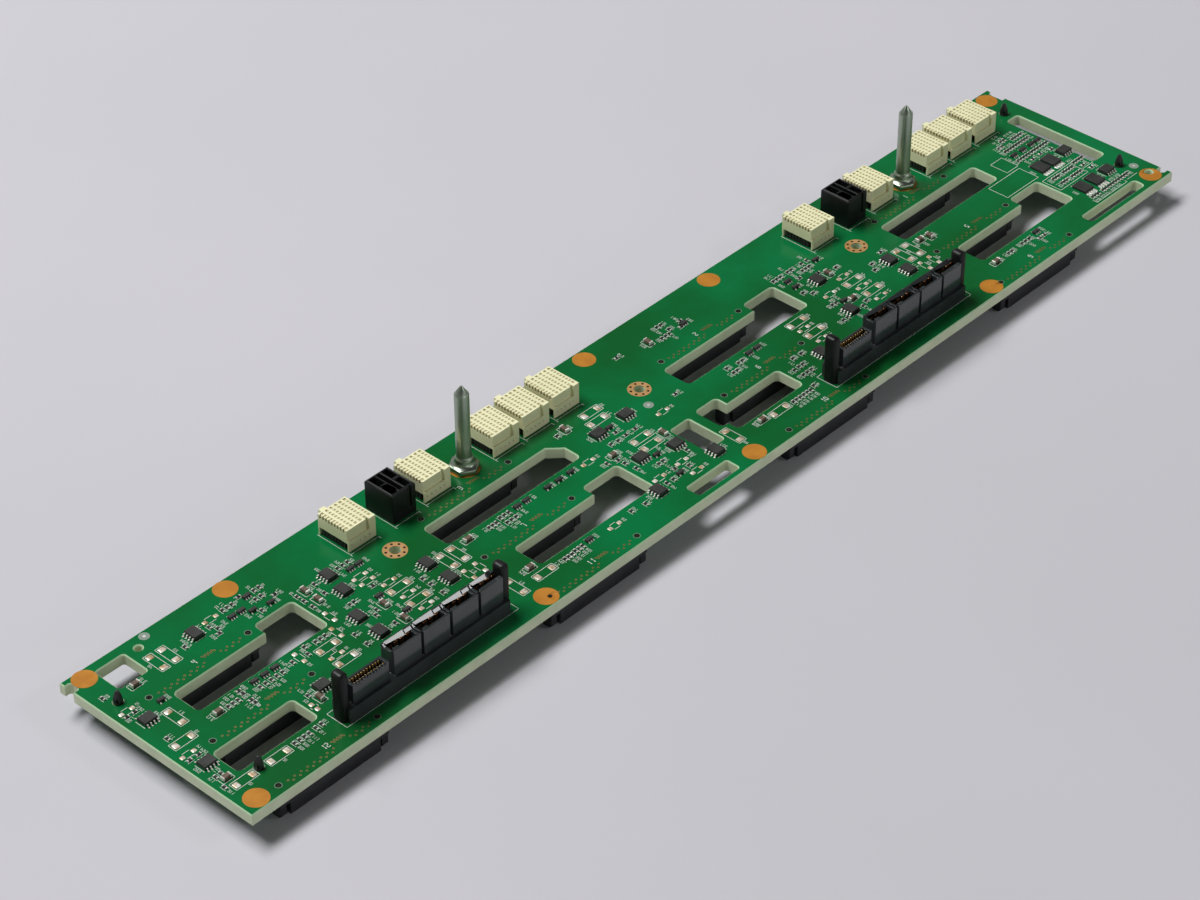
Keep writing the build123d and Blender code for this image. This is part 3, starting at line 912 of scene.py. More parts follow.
post_profile = [
    (0.0, -5.7),
    (3.0, -5.7),
    (3.3, -5.4),
    (3.3, -4.5),
    (3.1, -4.22),
    (1.4, -4.2),
    (1.4, 0.05),
    (1.52, 0.35),
    (1.52, 1.0),
    (1.30, 2.2),
    (0.96, 3.3),
    (0.66, 4.05),
    (0.34, 4.42),
    (0.0, 4.5),
]
post_sides = 28
eye_reach, eye_half, eye_low, eye_high = 3.0, 0.24, 0.45, 1.9
eye_turn = math.radians(43)


def cut_mesh(name, mesh, tool_mesh):
    """A mesh with another taken out of it."""
    holder = placed(name + "_holder", mesh)
    tool = take_out(holder, tool_mesh)
    finished = settled_mesh(holder, name)
    bpy.data.objects.remove(tool)
    return finished


post_eye = block_mesh("post_eye", [((-eye_reach, -eye_half, eye_low), (eye_reach, eye_half, eye_high))])
post_eye.transform(Matrix.Rotation(eye_turn, 4, "Z"))
snap_turning = turned_mesh("snap_post_turning", post_profile, post_sides)
snap_shape = cut_mesh("snap_post_shape", snap_turning, post_eye)
snap_places = [(place, 0.0, size) for place, _, size in standing_on_board(solids_of("snap_posts"))]
posts = set_out("nylon_posts", snap_shape, snap_places, nylon)
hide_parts("snap_posts")


# Driver chips: small packages with eight leads, moulded in black epoxy over a lead frame.
# The body has drafted sides and a dimple by the first lead; the tinned leads bend down
# to their pads.
chip_plastic = finish(
    "chip_black", (0.027, 0.029, 0.026), (0.037, 0.039, 0.036), 250.0, 6000.0, (0.48, 0.62), 0.35,
    specular=0.3,
)
tin = finish("tinned_metal", (0.86, 0.85, 0.80), (0.72, 0.71, 0.65), 400.0, 5000.0, (0.28, 0.42), 0.15, 0.45)
lead_places = (-1.905, -0.635, 0.635, 1.905)
chip_length, chip_width, chip_height = 4.9, 3.9, 1.5
dimple_radius, dimple_depth, dimple_place = 0.36, 0.12, (-1.75 * mm, -1.2 * mm, 0)


def drafted_block(name, length, width, low, high, draft, edge):
    """A moulded body: widest at the parting line half way up, with rounded edges; sizes in mm."""
    shape = bmesh.new()
    corners = ((-1, -1), (1, -1), (1, 1), (-1, 1))
    rings = []
    for height, inset in ((low, draft), ((low + high) / 2, 0.0), (high, draft)):
        x = (length / 2 - inset) * mm
        y = (width / 2 - inset) * mm
        rings.append([shape.verts.new((sx * x, sy * y, height * mm)) for sx, sy in corners])
    close_rings(shape, rings)
    bmesh.ops.bevel(shape, geom=shape.edges[:], offset=edge * mm, segments=1, affect="EDGES")
    return kept_mesh(shape, name)


def disc_mesh(name, radius, low, high, sides):
    """A plain disc about Z; sizes in mm."""
    return turned_mesh(name, [(0, low), (radius, low), (radius, high), (0, high)], sides)


def bent_lead(name, profile, width):
    """A flat lead: its side profile in mm, (outward, height), given a width along the package."""
    return wedge_mesh(name, profile, [(-width / 2, width / 2)])


def both_sides(reach, steps):
    """Offsets for leads along the near side of a package, turned about, and then the far side."""
    near = [(along, -reach, math.pi) for along in steps]
    return near + [(along, reach, 0.0) for along in steps]


def around(places, offsets):
    """Places moved by offsets (along, across, turn) in each place's own turned directions."""
    moved = []
    for place, turn, size in places:
        for along, across, more in offsets:
            step = Matrix.Rotation(turn, 3, "Z") @ Vector((along * mm, across * mm, 0))
            moved.append((place + step, turn + more, size))
    return moved


gull_profile = [
    (-0.05, 0.92),
    (0.36, 0.92),
    (0.50, 0.80),
    (0.62, 0.24),
    (1.15, 0.24),
    (1.15, 0.06),
    (0.50, 0.06),
    (0.36, 0.74),
    (-0.05, 0.74),
]
chip_places = standing_on_board(solids_of("driver_chips"))
dimple = disc_mesh("chip_dimple", dimple_radius, chip_height - dimple_depth, 2.0, 16)
dimple.transform(Matrix.Translation(dimple_place))
chip_body = drafted_block("chip_body", chip_length, chip_width, 0.12, chip_height, 0.12, 0.06)
chip_shape = cut_mesh("chip_shape", chip_body, dimple)
chips = set_out("driver_chip_bodies", chip_shape, chip_places, chip_plastic)
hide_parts("driver_chips")
gull_lead = bent_lead("gull_lead", gull_profile, 0.42)
chip_leads = around(chip_places, both_sides(chip_width / 2, lead_places))
set_out("driver_chip_leads", gull_lead, chip_leads, tin)


# Power chips: four nearly square packages by the right end, with four flat leads each way.
# The black epoxy body sits low on the board and the leads come straight out of its sides.
flat_profile = [(-0.05, 0.30), (0.55, 0.30), (0.75, 0.18), (0.75, 0.03), (-0.05, 0.03)]
power_chip_places = standing_on_board(solids_of("power_chips"))
power_shape = drafted_block("power_body", 6.0, 5.0, 0.06, 1.1, 0.10, 0.06)
power_chips = set_out("power_chip_bodies", power_shape, power_chip_places, chip_plastic)
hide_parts("power_chips")
lead_reach, pad_reach = 3.0, 4.05
power_leads = [(-lead_reach, along, math.pi / 2) for along in lead_places]
power_leads += [(lead_reach, along, -math.pi / 2) for along in lead_places]
flat_lead = bent_lead("flat_lead", flat_profile, 0.55)
set_out("power_chip_leads", flat_lead, around(power_chip_places, power_leads), tin)
power_pad = drafted_block("power_pad", 1.5, 1.0, 0.0, 0.07, 0.02, 0.02)
power_pads = [(-pad_reach, along, 0.0) for along in lead_places]
set_out("power_chip_pads", power_pad, around(power_chip_places, power_pads), tin)


# Ceramic capacitors: fired brown blocks with tinned ends, soldered flat on two pads.
# The solder climbs a little way up both ends.
ceramic = finish(
    "ceramic_brown", (0.150, 0.105, 0.070), (0.105, 0.072, 0.050), 300.0, 5000.0, (0.35, 0.5), 0.2
)


def both_ends(reach):
    """Offsets for the two end caps of a chip part."""
    return [(-reach, 0, 0.0), (reach, 0, 0.0)]


capacitor_places = standing_on_board(solids_of("ceramic_capacitors"))
capacitor_body = drafted_block("capacitor_body", 2.3, 1.62, 0.03, 1.36, 0.03, 0.12)
capacitors = set_out("capacitor_bodies", capacitor_body, capacitor_places, ceramic)
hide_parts("ceramic_capacitors")
capacitor_end = drafted_block("capacitor_end", 0.55, 1.7, 0.02, 1.4, 0.02, 0.14)
capacitor_reach = 1.33
set_out("capacitor_ends", capacitor_end, around(capacitor_places, both_ends(capacitor_reach)), tin)


# Resistor arrays: small black packages with three stubby leads along each long side.
# They are moulded in black epoxy, and their tinned leads are soldered to the board.
lone_array = (427.7, 47.95)
array_places = standing_on_board(solids_of("resistor_arrays"))
array_places.append((on_board(*lone_array), 0.0, (1, 1, 1)))
array_body = drafted_block("array_body", 2.9, 1.45, 0.08, 1.0, 0.09, 0.05)
arrays = set_out("array_bodies", array_body, array_places, chip_plastic)
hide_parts("resistor_arrays")
stub_profile = [
    (-0.05, 0.50),
    (0.18, 0.50),
    (0.34, 0.20),
    (0.62, 0.20),
    (0.62, 0.05),
    (0.20, 0.05),
    (0.06, 0.36),
    (-0.05, 0.36),
]
stub_lead = bent_lead("stub_lead", stub_profile, 0.38)
array_leads = around(array_places, both_sides(0.72, (-0.95, 0.0, 0.95)))
set_out("array_leads", stub_lead, array_leads, tin)


# Small transistors: black epoxy packages with two leads on one side and one on the other.
# The stubby tinned leads are soldered flat on three pads.
transistor_centres = [
    (14.9, 54.7), (60.0, 64.6), (66.2, 63.3), (162.6, 40.0), (167.6, 40.0), (173.0, 40.0),
    (198.2, 46.6), (198.0, 26.0), (196.0, 14.2), (298.6, 53.0), (303.4, 35.8), (315.6, 58.4),
]
transistor_places = [(on_board(*centre), 0.0, (1, 1, 1)) for centre in transistor_centres]
transistor_body = drafted_block("transistor_body", 2.9, 1.35, 0.1, 1.0, 0.10, 0.05)
set_out("small_transistors", transistor_body, transistor_places, chip_plastic)
transistor_legs = [(-0.95, -0.67, math.pi), (0.95, -0.67, math.pi), (0.0, 0.67, 0.0)]
transistor_lead = bent_lead("transistor_lead", stub_profile, 0.42)
set_out("transistor_leads", transistor_lead, around(transistor_places, transistor_legs), tin)


# Copper lands: bare copper round the screw holes, under the guide pins and at the tooling points.
# They are etched with the board and have dulled to a brown orange.
copper = finish(
    "bare_copper", (0.50, 0.207, 0.021), (0.43, 0.168, 0.016), 220.0, 3000.0, (0.55, 0.68), 0.15, 0.1, 0.25
)
land_radius, land_thickness = 4.0, 0.035
plain_lands = [(6.1, 78.5), (61.4, 78.3), (220.2, 77.9), (282.3, 77.8), (437.2, 77.9)]
plain_lands += [(5.8, 4.4), (220.2, 4.2)]
screw_lands = [(108.9, 53.55), (220.35, 53.55), (331.8, 53.55)]
drilled_lands = [((124.1, 4.3), (124.9, 3.5), 0.78), ((343.7, 4.3), (347.8, 3.5), 0.78)]
drilled_lands += [((436.8, 4.8), (437.9, 6.2), 1.7)]
screw_hole = 1.9


def ring_mesh(name, outer, hole, low, high, sides):
    """A flat ring about Z with a square section; sizes in mm."""
    profile = [(hole, low), (outer, low), (outer, high), (hole, high), (hole, low)]
    return turned_mesh(name, profile, sides)


def spots(centres, height=0.0):
    """Places on the board's top for (along, across) centres."""
    return [(on_board(along, across, height), 0.0, (1, 1, 1)) for along, across in centres]


land_disc = disc_mesh("land_disc", land_radius, 0, land_thickness, 40)
set_out("copper_lands", land_disc, spots(plain_lands), copper)
for number, (middle, hole, radius) in enumerate(drilled_lands, start=1):
    drill = disc_mesh("land_drill", radius, -1, 1, 24)
    drill.transform(Matrix.Translation(((hole[0] - middle[0]) * mm, (hole[1] - middle[1]) * mm, 0)))
    drilled = cut_mesh(f"drilled_land_{number}", land_disc.copy(), drill)
    set_out(f"drilled_land_{number}", drilled, spots([middle]), copper)
tinned_copper = finish(
    "tinned_copper", (0.50, 0.29, 0.12), (0.42, 0.23, 0.08), 220.0, 3000.0, (0.5, 0.65), 0.15, 0.1, 0.25
)
screw_ring = ring_mesh("screw_ring", land_radius, screw_hole, 0, land_thickness, 40)
set_out("screw_rings", screw_ring, spots(screw_lands), tinned_copper)
pin_centres = [(152.3, 66.5), (373.2, 66.5)]
set_out("pin_rings", ring_mesh("pin_ring", 5.15, 2.2, 0, 0.03, 40), spots(pin_centres), copper)
# Open holes are drawn as flat discs and rings painted near black: painted shade inside the holes.
hole_shade_paint = finish(
    "drilled_dark", (0.006, 0.006, 0.005), (0.012, 0.011, 0.008), 300.0, 3000.0, (0.6, 0.8), 0.1, 0.0, 0.1
)
via_turns = [math.radians(22.5 + 45 * i) for i in range(8)]
via_circle = 3.05
ring_vias = [
    (along + via_circle * math.cos(turn), across + via_circle * math.sin(turn))
    for along, across in screw_lands
    for turn in via_turns
]
# The vias round the screw holes are flat discs painted as the shade in them.
via_plug = disc_mesh("via_plug", 0.46, 0.0, 0.045, 12)
set_out("screw_ring_vias", via_plug, spots(ring_vias), hole_shade_paint)


# Plated holes: rows of gold-plated holes for the tails of the drive sockets, and the rims
# of their peg holes. The rows zigzag; a third row lies behind them.
dull_gold = finish(
    "plated_gold", (0.24, 0.19, 0.055), (0.15, 0.14, 0.040), 200.0, 3000.0, (0.40, 0.55), 0.1, 0.35
)
column_pitch, row_pitch = 111.45, 27.45
first_bay = (32.9, 3.5)
bay_middles = [
    (first_bay[0] + column_pitch * i, first_bay[1] + row_pitch * k)
    for i in range(4)
    for k in range(3)
]
tail_rows = [
    (-16.2, contact_pitch, 15, -1.0, 0.5),
    (3.0, 0.62, 8, 1.7, 0.3),
    (8.5, contact_pitch, 7, -0.6, 0.5),
]
hole_radius, ring_thickness, dot_thickness = 0.19, 0.03, 0.012
peg_reach = 19.45
tail_holes = []
for along, across in bay_middles:
    for start, pitch, count, aside, swing in tail_rows:
        for i in range(count):
            tail_holes.append((along + start + pitch * i, across + aside + swing * (-1) ** i))
via_ring = ring_mesh("via_ring", 0.40, hole_radius, 0, ring_thickness, 10)
set_out("tail_rings", via_ring, spots(tail_holes), dull_gold)
# The middle of each tail ring is painted near black as the shade in the hole.
tail_dot = disc_mesh("tail_dot", hole_radius, 0.0, dot_thickness, 8)
set_out("tail_holes", tail_dot, spots(tail_holes), hole_shade_paint)
bare_rim = finish("bare_laminate", (0.16, 0.26, 0.18), (0.11, 0.20, 0.13), 200.0, 3000.0, (0.4, 0.6), 0.1)
peg_holes = [(along + reach, across) for along, across in bay_middles for reach in (-peg_reach, peg_reach)]
set_out("peg_rims", ring_mesh("peg_rim", 1.18, 0.98, 0, 0.02, 20), spots(peg_holes), bare_rim)
# Inside the bare rim, a ring painted near black stands for the shade in the peg hole.
set_out("peg_walls", ring_mesh("peg_wall", 0.98, 0.45, 0, 0.02, 20), spots(peg_holes), hole_shade_paint)


# Underside of the pressed and soldered parts: the headers' tails end in plated holes, and
# the supply sockets' tails in solder joints. The screw holes have a copper ring here too.
def under_board(nodes, offsets, thickness):
    """Places on the underside, offset in mm from the low corner of every node, for a flat piece."""
    places = []
    for node in nodes:
        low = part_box(node)[0]
        for along, across in offsets:
            point = Vector((low.x + along * mm, low.y + across * mm, board_low.z - thickness * mm))
            places.append((point, 0.0, (1, 1, 1)))
    return places


header_holes = [chamber_middle(i, k) for i in range(chamber_columns) for k in range(chamber_rows)]
set_out("header_hole_rings", via_ring, under_board(header_nodes, header_holes, ring_thickness), dull_gold)
# The hole ends under the headers are painted near black as shade too.
set_out("header_hole_ends", tail_dot, under_board(header_nodes, header_holes, dot_thickness), hole_shade_paint)
pocket_tails = [(along, across) for along in (2.6, 5.6, 8.6) for across in (3.0, 6.5, 10.0)]
spring_tails = [first_spring + i * spring_pitch for i in range(spring_count)]
supply_tails = [(along, across) for along in spring_tails for across in (2.2, 3.8)]
for i in range(power_sections):
    supply_tails += [(power_left + i * power_pitch + along, 4.9) for along in (1.9, 4.4, 6.9, 9.4)]
joint_depth = 0.55
joint_profile = [(0, 0), (0.16, 0.02), (0.24, 0.2), (0.34, 0.42), (0.5, joint_depth), (0, joint_depth)]
solder_joint = turned_mesh("solder_joint", joint_profile, 12)
joints = under_board(supply_nodes, supply_tails, joint_depth)
joints += under_board(power_nodes, pocket_tails, joint_depth)
set_out("solder_joints", solder_joint, joints, tin)
under_rings = spots(screw_lands, -board_thickness - land_thickness)
set_out("screw_rings_below", screw_ring, under_rings, tinned_copper)


# Tooling marks: three round windows in the mask with a tinned dot, by which the machine that
# places the parts finds the board.
tooling_marks = [(30.5, 80.0), (216.0, 45.6), (437.5, 12.5)]
grey_window = finish("mark_window", (0.24, 0.31, 0.25), (0.19, 0.25, 0.20), 200.0, 3000.0, (0.5, 0.7), 0.1)
mark_disc = disc_mesh("mark_disc", 1.75, 0, 0.015, 32)
set_out("mark_windows", mark_disc, spots(tooling_marks), grey_window)
mark_dot = disc_mesh("mark_dot", 0.55, 0, 0.04, 20)
set_out("mark_dots", mark_dot, spots(tooling_marks), tin)


# Solder pads: tinned pads for parts that this build of the board leaves off.
# Each pair has a domed skin of solder, and larger pairs lie in a printed frame.
pairs_along = [
    (46.7, 51.1, 71.2), (3.1, 7.2, 58.6), (4.8, 10.8, 37.1), (2.8, 7.1, 31.9), (5.5, 11.7, 12.3),
    (18.8, 25.0, 12.3), (60.8, 66.9, 36.2), (60.9, 65.2, 31.5), (60.8, 67.1, 28.1),
    (90.5, 95.2, 52.5), (90.5, 95.2, 49.2), (94.9, 99.2, 44.1), (94.2, 100.8, 40.2),
    (94.9, 99.2, 35.9), (94.2, 100.8, 31.9), (94.9, 99.2, 28.1), (128.9, 135.1, 12.3),
    (160.8, 164.9, 11.8), (178.6, 183.0, 39.5), (197.5, 203.6, 56.8), (195.7, 202.0, 52.1),
    (214.4, 218.6, 39.8), (198.2, 204.5, 35.6), (197.8, 204.4, 30.9), (198.9, 203.0, 17.9),
    (198.8, 203.0, 11.4), (187.8, 192.0, 17.5), (280.1, 286.8, 39.6), (280.1, 284.2, 35.5),
    (280.2, 286.8, 31.8), (280.0, 284.0, 27.5), (301.2, 305.8, 41.8), (312.4, 316.6, 45.2),
    (311.6, 317.9, 41.0), (312.4, 316.6, 36.8), (312.2, 318.4, 32.8), (312.0, 316.6, 28.5),
    (239.3, 245.5, 12.3),
]
pairs_across = [
    (25.2, 65.2, 71.5), (30.0, 65.2, 71.5), (13.0, 43.5, 49.6), (54.9, 36.7, 40.9),
    (70.2, 36.9, 41.2), (73.8, 43.6, 47.8), (115.9, 35.0, 41.2), (120.7, 35.0, 41.2),
    (121.2, 10.8, 17.3), (222.0, 11.8, 17.9), (338.5, 34.7, 41.2), (343.4, 34.7, 41.2),
    (115.9, 26.5, 30.9), (120.7, 26.5, 30.9), (338.5, 26.5, 30.9), (343.4, 26.5, 30.9),
    (43.0, 18.6, 21.2),
]
long_pair = 5.5
small_pad, large_pad = (1.65, 1.55), (2.0, 2.4)
print_aside, print_beyond, line_inset = 0.45, 0.35, 0.9
pad_places = []
silk = []
used = []
numbered = []
ink_width = 0.17


def line(start, end, width=ink_width):
    """A printed line between two (along, across) ends."""
    silk.append((start, end, width))
    left, right = sorted((start[0], end[0]))
    front, back = sorted((start[1], end[1]))
    used.append((left - width / 2, front - width / 2, right + width / 2, back + width / 2))


def frame_lines(left, front, right, back):
    """A printed rectangle."""
    line((left, front), (right, front))
    line((left, back), (right, back))
    line((left, front), (left, back))
    line((right, front), (right, back))


def keep_clear(left, front, right, back):
    """Note a rectangle of the board as in use, so that no printed number lands on it."""
    used.append((left, front, right, back))


def pad_at(along, across, length, width):
    """One pad, of a stated length along the board and width across it."""
    pad_places.append((on_board(along, across), 0.0, (length, width, 1.0)))
    keep_clear(along - length / 2, across - width / 2, along + length / 2, across + width / 2)


def pad_pair(first, second, beside, lengthwise):
    """Two pads in line and their print: a frame round a large pair, lines beside a small one."""

    def place(in_line, aside):
        return (in_line, aside) if lengthwise else (aside, in_line)

    wide = second - first > long_pair
    length, width = large_pad if wide else small_pad
    for end in (first, second):
        pad_at(*place(end, beside), *place(length, width))
    half = width / 2 + print_aside
    out = length / 2 + print_beyond
    box = (*place(first - out, beside - half), *place(second + out, beside + half))
    numbered.append(box)
    if wide:
        frame_lines(*box)
    else:
        for side in (-half, half):
            line(place(first + line_inset, beside + side), place(second - line_inset, beside + side))


def dome_mesh(name):
    """A pad one mm square with a low dome of solder on it."""
    shape = bmesh.new()
    rings = []
    for height, inset, corner in ((0.03, 0.0, 0.12), (0.09, 0.08, 0.08), (0.12, 0.22, 0.08)):
        reach = (0.5 - inset) * mm
        near = reach - corner * mm
        ring = []
        for sx, sy, first in ((-1, -1, True), (1, -1, False), (1, 1, True), (-1, 1, False)):
            ends = [(sx * reach, sy * near), (sx * near, sy * reach)]
            for x, y in ends if first else ends[::-1]:
                ring.append(shape.verts.new((x, y, height * mm)))
        rings.append(ring)
    rings.insert(0, [shape.verts.new((v.co.x, v.co.y, 0)) for v in rings[0]])
    close_rings(shape, rings)
    bmesh.ops.recalc_face_normals(shape, faces=shape.faces)
    mesh = kept_mesh(shape, name)
    mesh.shade_smooth()
    return mesh


for left, right, across in pairs_along:
    pad_pair(left, right, across, True)
for along, front, back in pairs_across:
    pad_pair(front, back, along, False)
pad_solder = finish(
    "pad_solder", (0.90, 0.88, 0.82), (0.47, 0.30, 0.14), 620.0, 3000.0, (0.28, 0.42), 0.15, 0.35
)
set_out("solder_pads", dome_mesh("solder_dome"), pad_places, pad_solder)


# Small resistors: about two hundred tiny ceramic chips, dark on top, with a tinned cap at both ends.
# They stand in close rows by the sockets and chips, each between two printed lines.
rows_standing = [
    (4.0, 67.8), (35.3, 67.2), (46.2, 68.6), (47.6, 66.2), (54.0, 71.3, 3, 1.9),
    (64.2, 67.8, 2, 2.2), (66.6, 71.2, 2, 2.1), (62.0, 62.6), (73.4, 59.4), (73.4, 56.4),
    (73.4, 52.6), (80.9, 59.8), (80.2, 54.6), (90.8, 60.0, 3, 2.1), (81.6, 45.0, 2, 1.7),
    (85.3, 37.4), (83.5, 35.8), (84.8, 29.0), (73.0, 34.0), (72.6, 28.4), (59.0, 41.0),
    (62.9, 40.2, 3, 1.9), (52.0, 38.6), (57.6, 38.0), (26.2, 38.2, 3, 1.9), (38.2, 37.6, 5, 2.2),
    (45.0, 24.6), (28.4, 12.6, 4, 1.9), (37.0, 12.9, 2, 2.2), (3.8, 18.9, 2, 2.0), (2.6, 14.0),
    (5.2, 41.0), (104.8, 37.4), (104.6, 33.8), (104.4, 28.4), (136.0, 39.6, 3, 1.6),
    (141.6, 40.4, 3, 1.9), (141.6, 37.2, 3, 1.9), (183.8, 55.8), (192.2, 40.2), (195.2, 39.8),
    (184.0, 34.4), (140.6, 11.9, 3, 1.6), (145.6, 12.3, 3, 1.6), (171.4, 12.6), (177.2, 11.8),
    (189.4, 13.8), (192.2, 13.6), (200.8, 14.7), (188.0, 30.4), (188.6, 26.0),
    (195.0, 22.2, 2, 1.9), (206.4, 20.6), (249.6, 72.0, 2, 1.9), (246.2, 66.6, 3, 1.8),
    (251.6, 68.4), (247.8, 39.6), (247.6, 36.4, 2, 1.8), (252.8, 38.8, 2, 1.8),
    (248.6, 11.8, 3, 1.7), (253.9, 11.8, 3, 1.7), (259.8, 12.6), (266.6, 27.2), (270.6, 27.0),
    (262.0, 22.6), (264.4, 22.8, 2, 2.0), (262.0, 18.8, 3, 2.0), (296.2, 60.6, 3, 1.8),
    (303.6, 60.6, 2, 1.8), (310.6, 60.4), (313.4, 60.4), (307.8, 57.4, 3, 1.7), (297.6, 48.8),
    (299.8, 46.2), (316.8, 50.2), (299.0, 37.0, 2, 1.8), (308.4, 30.2), (294.6, 28.6, 2, 2.2),
    (305.6, 29.0), (324.6, 39.4), (326.6, 42.4), (363.4, 11.8, 2, 1.8), (371.2, 12.0, 3, 2.0),
    (414.0, 51.6, 9, 1.6), (414.2, 54.7, 2, 1.8), (422.6, 54.9, 4, 1.6), (418.2, 56.9, 2, 1.7),
    (412.4, 44.7, 11, 1.65), (411.0, 28.2, 3, 1.6), (417.2, 28.2, 4, 1.6), (424.8, 29.4, 4, 1.6),
    (411.0, 24.4, 3, 1.6), (417.2, 24.4, 4, 1.6), (411.2, 11.2, 3, 1.6), (417.2, 11.2, 10, 1.6),
]
rows_lying = [
    (3.4, 56.6, 2, 3.0), (3.4, 29.6, 2, 3.4), (46.3, 64.4), (61.4, 72.6), (69.6, 65.4),
    (32.8, 41.2), (32.8, 39.4), (32.6, 35.6), (32.6, 34.0), (92.2, 46.4), (199.0, 40.2),
    (203.4, 40.2), (187.6, 33.2), (197.8, 43.6), (196.4, 17.0), (227.8, 70.5), (226.0, 43.0),
    (255.4, 66.6), (257.6, 69.0), (303.6, 55.6), (310.2, 52.8), (334.2, 45.0), (416.6, 41.6),
    (421.4, 41.8), (426.4, 40.8), (425.6, 26.2), (426.4, 23.0), (378.0, 9.8, 2, 2.6),
]
resistor_places = []
side_reach, end_reach = 0.72, 1.3
beside_width, beside_half = 0.13, 1.15


def number_later(box):
    """Note the rectangle of a part as in use, and that a number is printed beside it."""
    keep_clear(*box)
    numbered.append(box)


def resistor_at(along, across, standing):
    """One resistor, across the board where it is standing, with a printed line on each side."""
    resistor_places.append((on_board(along, across), math.pi / 2 if standing else 0.0, (1, 1, 1)))
    reach = (side_reach, end_reach) if standing else (end_reach, side_reach)
    number_later((along - reach[0], across - reach[1], along + reach[0], across + reach[1]))
    for side in (-side_reach, side_reach):
        if standing:
            line((along + side, across - beside_half), (along + side, across + beside_half), beside_width)
        else:
            line((along - beside_half, across + side), (along + beside_half, across + side), beside_width)


for rows, standing in ((rows_standing, True), (rows_lying, False)):
    for first, across, *row in rows:
        count, step = row or (1, 0.0)
        for i in range(count):
            resistor_at(first + i * step, across, standing)
glaze = finish(
    "resistor_glaze", (0.020, 0.020, 0.022), (0.035, 0.033, 0.032), 300.0, 4000.0, (0.25, 0.4), 0.1
)
resistor_body = drafted_block("resistor_body", 1.15, 0.84, 0.02, 0.50, 0.02, 0.03)
set_out("resistor_bodies", resistor_body, resistor_places, glaze)
resistor_cap = drafted_block("resistor_cap", 0.42, 0.86, 0.01, 0.52, 0.02, 0.05)
cap_reach = 0.72
set_out("resistor_caps", resistor_cap, around(resistor_places, both_ends(cap_reach)), tin)


# Printed legend: thin white ink on the solder mask, screened on before the parts go on.
# It frames the parts, marks the corners of the headers and sockets and numbers the bays.
ink = finish("printed_ink", (0.70, 0.73, 0.68), (0.60, 0.64, 0.58), 300.0, 3000.0, (0.6, 0.75), 0.1)
ink_height = 0.03
bay_digit, part_digit = (0.8, 0.9, 0.26), (0.52, 0.48, 0.13)
segments = {
    "a": ((0, 2), (1, 2)),
    "b": ((1, 1), (1, 2)),
    "c": ((1, 0), (1, 1)),
    "d": ((0, 0), (1, 0)),
    "e": ((0, 0), (0, 1)),
    "f": ((0, 1), (0, 2)),
    "g": ((0, 1), (1, 1)),
}
digits = ["abcdef", "bc", "abged", "abgcd", "fgbc", "afgcd", "afgedc", "abc", "abcdefg", "abfgcd"]


def on_plan(low, high, margin_along=0.0, margin_across=0.0):
    """A box in the part's frame as (left, front, right, back) in mm on the board, grown by margins."""
    left, front = ((low[i] - board_low[i]) / mm for i in range(2))
    right, back = ((high[i] - board_low[i]) / mm for i in range(2))
    return left - margin_along, front - margin_across, right + margin_along, back + margin_across


def print_number(number, left, front, digit, upward=False):
    """A plain number with its low left corner at a place; upward numbers read along the board's depth."""
    width, half_height, stroke = digit
    for place, figure in enumerate(str(number)):
        for name in digits[int(figure)]:
            ends = []
            for x, y in segments[name]:
                along = place * (width + 3 * stroke) + width * x
                across = half_height * y
                ends.append((left - across, front + along) if upward else (left + along, front + across))
            line(*ends, stroke)


def is_free(box):
    """True where a rectangle lies on the board and touches nothing in use."""
    left, front, right, back = box
    if left < board_margin or front < board_margin:
        return False
    if right > board_length - board_margin or back > board_depth - board_margin:
        return False
    return not any(
        other[0] < right and left < other[2] and other[1] < back and front < other[3] for other in used
    )


def number_beside(number, box):
    """Print a part's number on the first free side of it, if it has one."""
    left, front, right, back = box
    width, half_height, stroke = part_digit
    tall = 2 * half_height + stroke
    length = len(str(number)) * (width + 3 * stroke) - 2 * stroke
    gap = 0.35
    middle_along = (left + right) / 2
    middle_across = (front + back) / 2
    tries = [
        (right + gap, middle_across - length / 2, True),
        (left - gap - tall, middle_across - length / 2, True),
        (middle_along - tall / 2, back + gap, True),
        (middle_along - tall / 2, front - gap - length, True),
        (middle_along - length / 2, back + gap, False),
        (middle_along - length / 2, front - gap - tall, False),
    ]
    for x, y, upward in tries:
        size = (tall, length) if upward else (length, tall)
        if is_free((x, y, x + size[0], y + size[1])):
            corner = x + tall - stroke / 2 if upward else x + stroke / 2
            print_number(number, corner, y + stroke / 2, part_digit, upward)
            return


group_frames = [(391.0, 33.2, 408.8, 41.7), (403.6, 43.0, 410.0, 50.5), (407.4, 22.2, 423.4, 30.4)]
group_lines = [
    ((423.4, 30.4), (430.0, 30.4)),
    ((430.0, 24.8), (430.0, 30.4)),
    ((424.0, 24.8), (430.0, 24.8)),
    ((409.6, 8.2), (427.5, 8.2)),
    ((409.6, 8.2), (409.6, 10.0)),
    ((427.5, 8.2), (427.5, 9.2)),
    ((428.9, 9.0), (434.4, 9.0)),
]
board_length = (board_high.x - board_low.x) / mm
board_depth = (board_high.y - board_low.y) / mm
board_margin, slot_margin = 1.0, 0.9
lead_margin, end_margin = 1.2, 0.4
land_reach, pin_reach, hole_reach = 4.2, 6.5, 0.6
capacitor_margins, package_margins = (0.6, 0.5), (0.8, 0.8)
transistor_reach = (1.6, 1.5)
supply_margins, supply_right, supply_back = (0.2, 0.3), 1.2, 0.3
header_margins, corner_length, rail_length = (0.5, 1.1), 1.0, 14.5
digit_aside, digit_back = 0.6, 1.0


def keep_round(centres, reach):
    """Note a square about each centre as in use."""
    for along, across in centres:
        keep_clear(along - reach, across - reach, along + reach, across + reach)


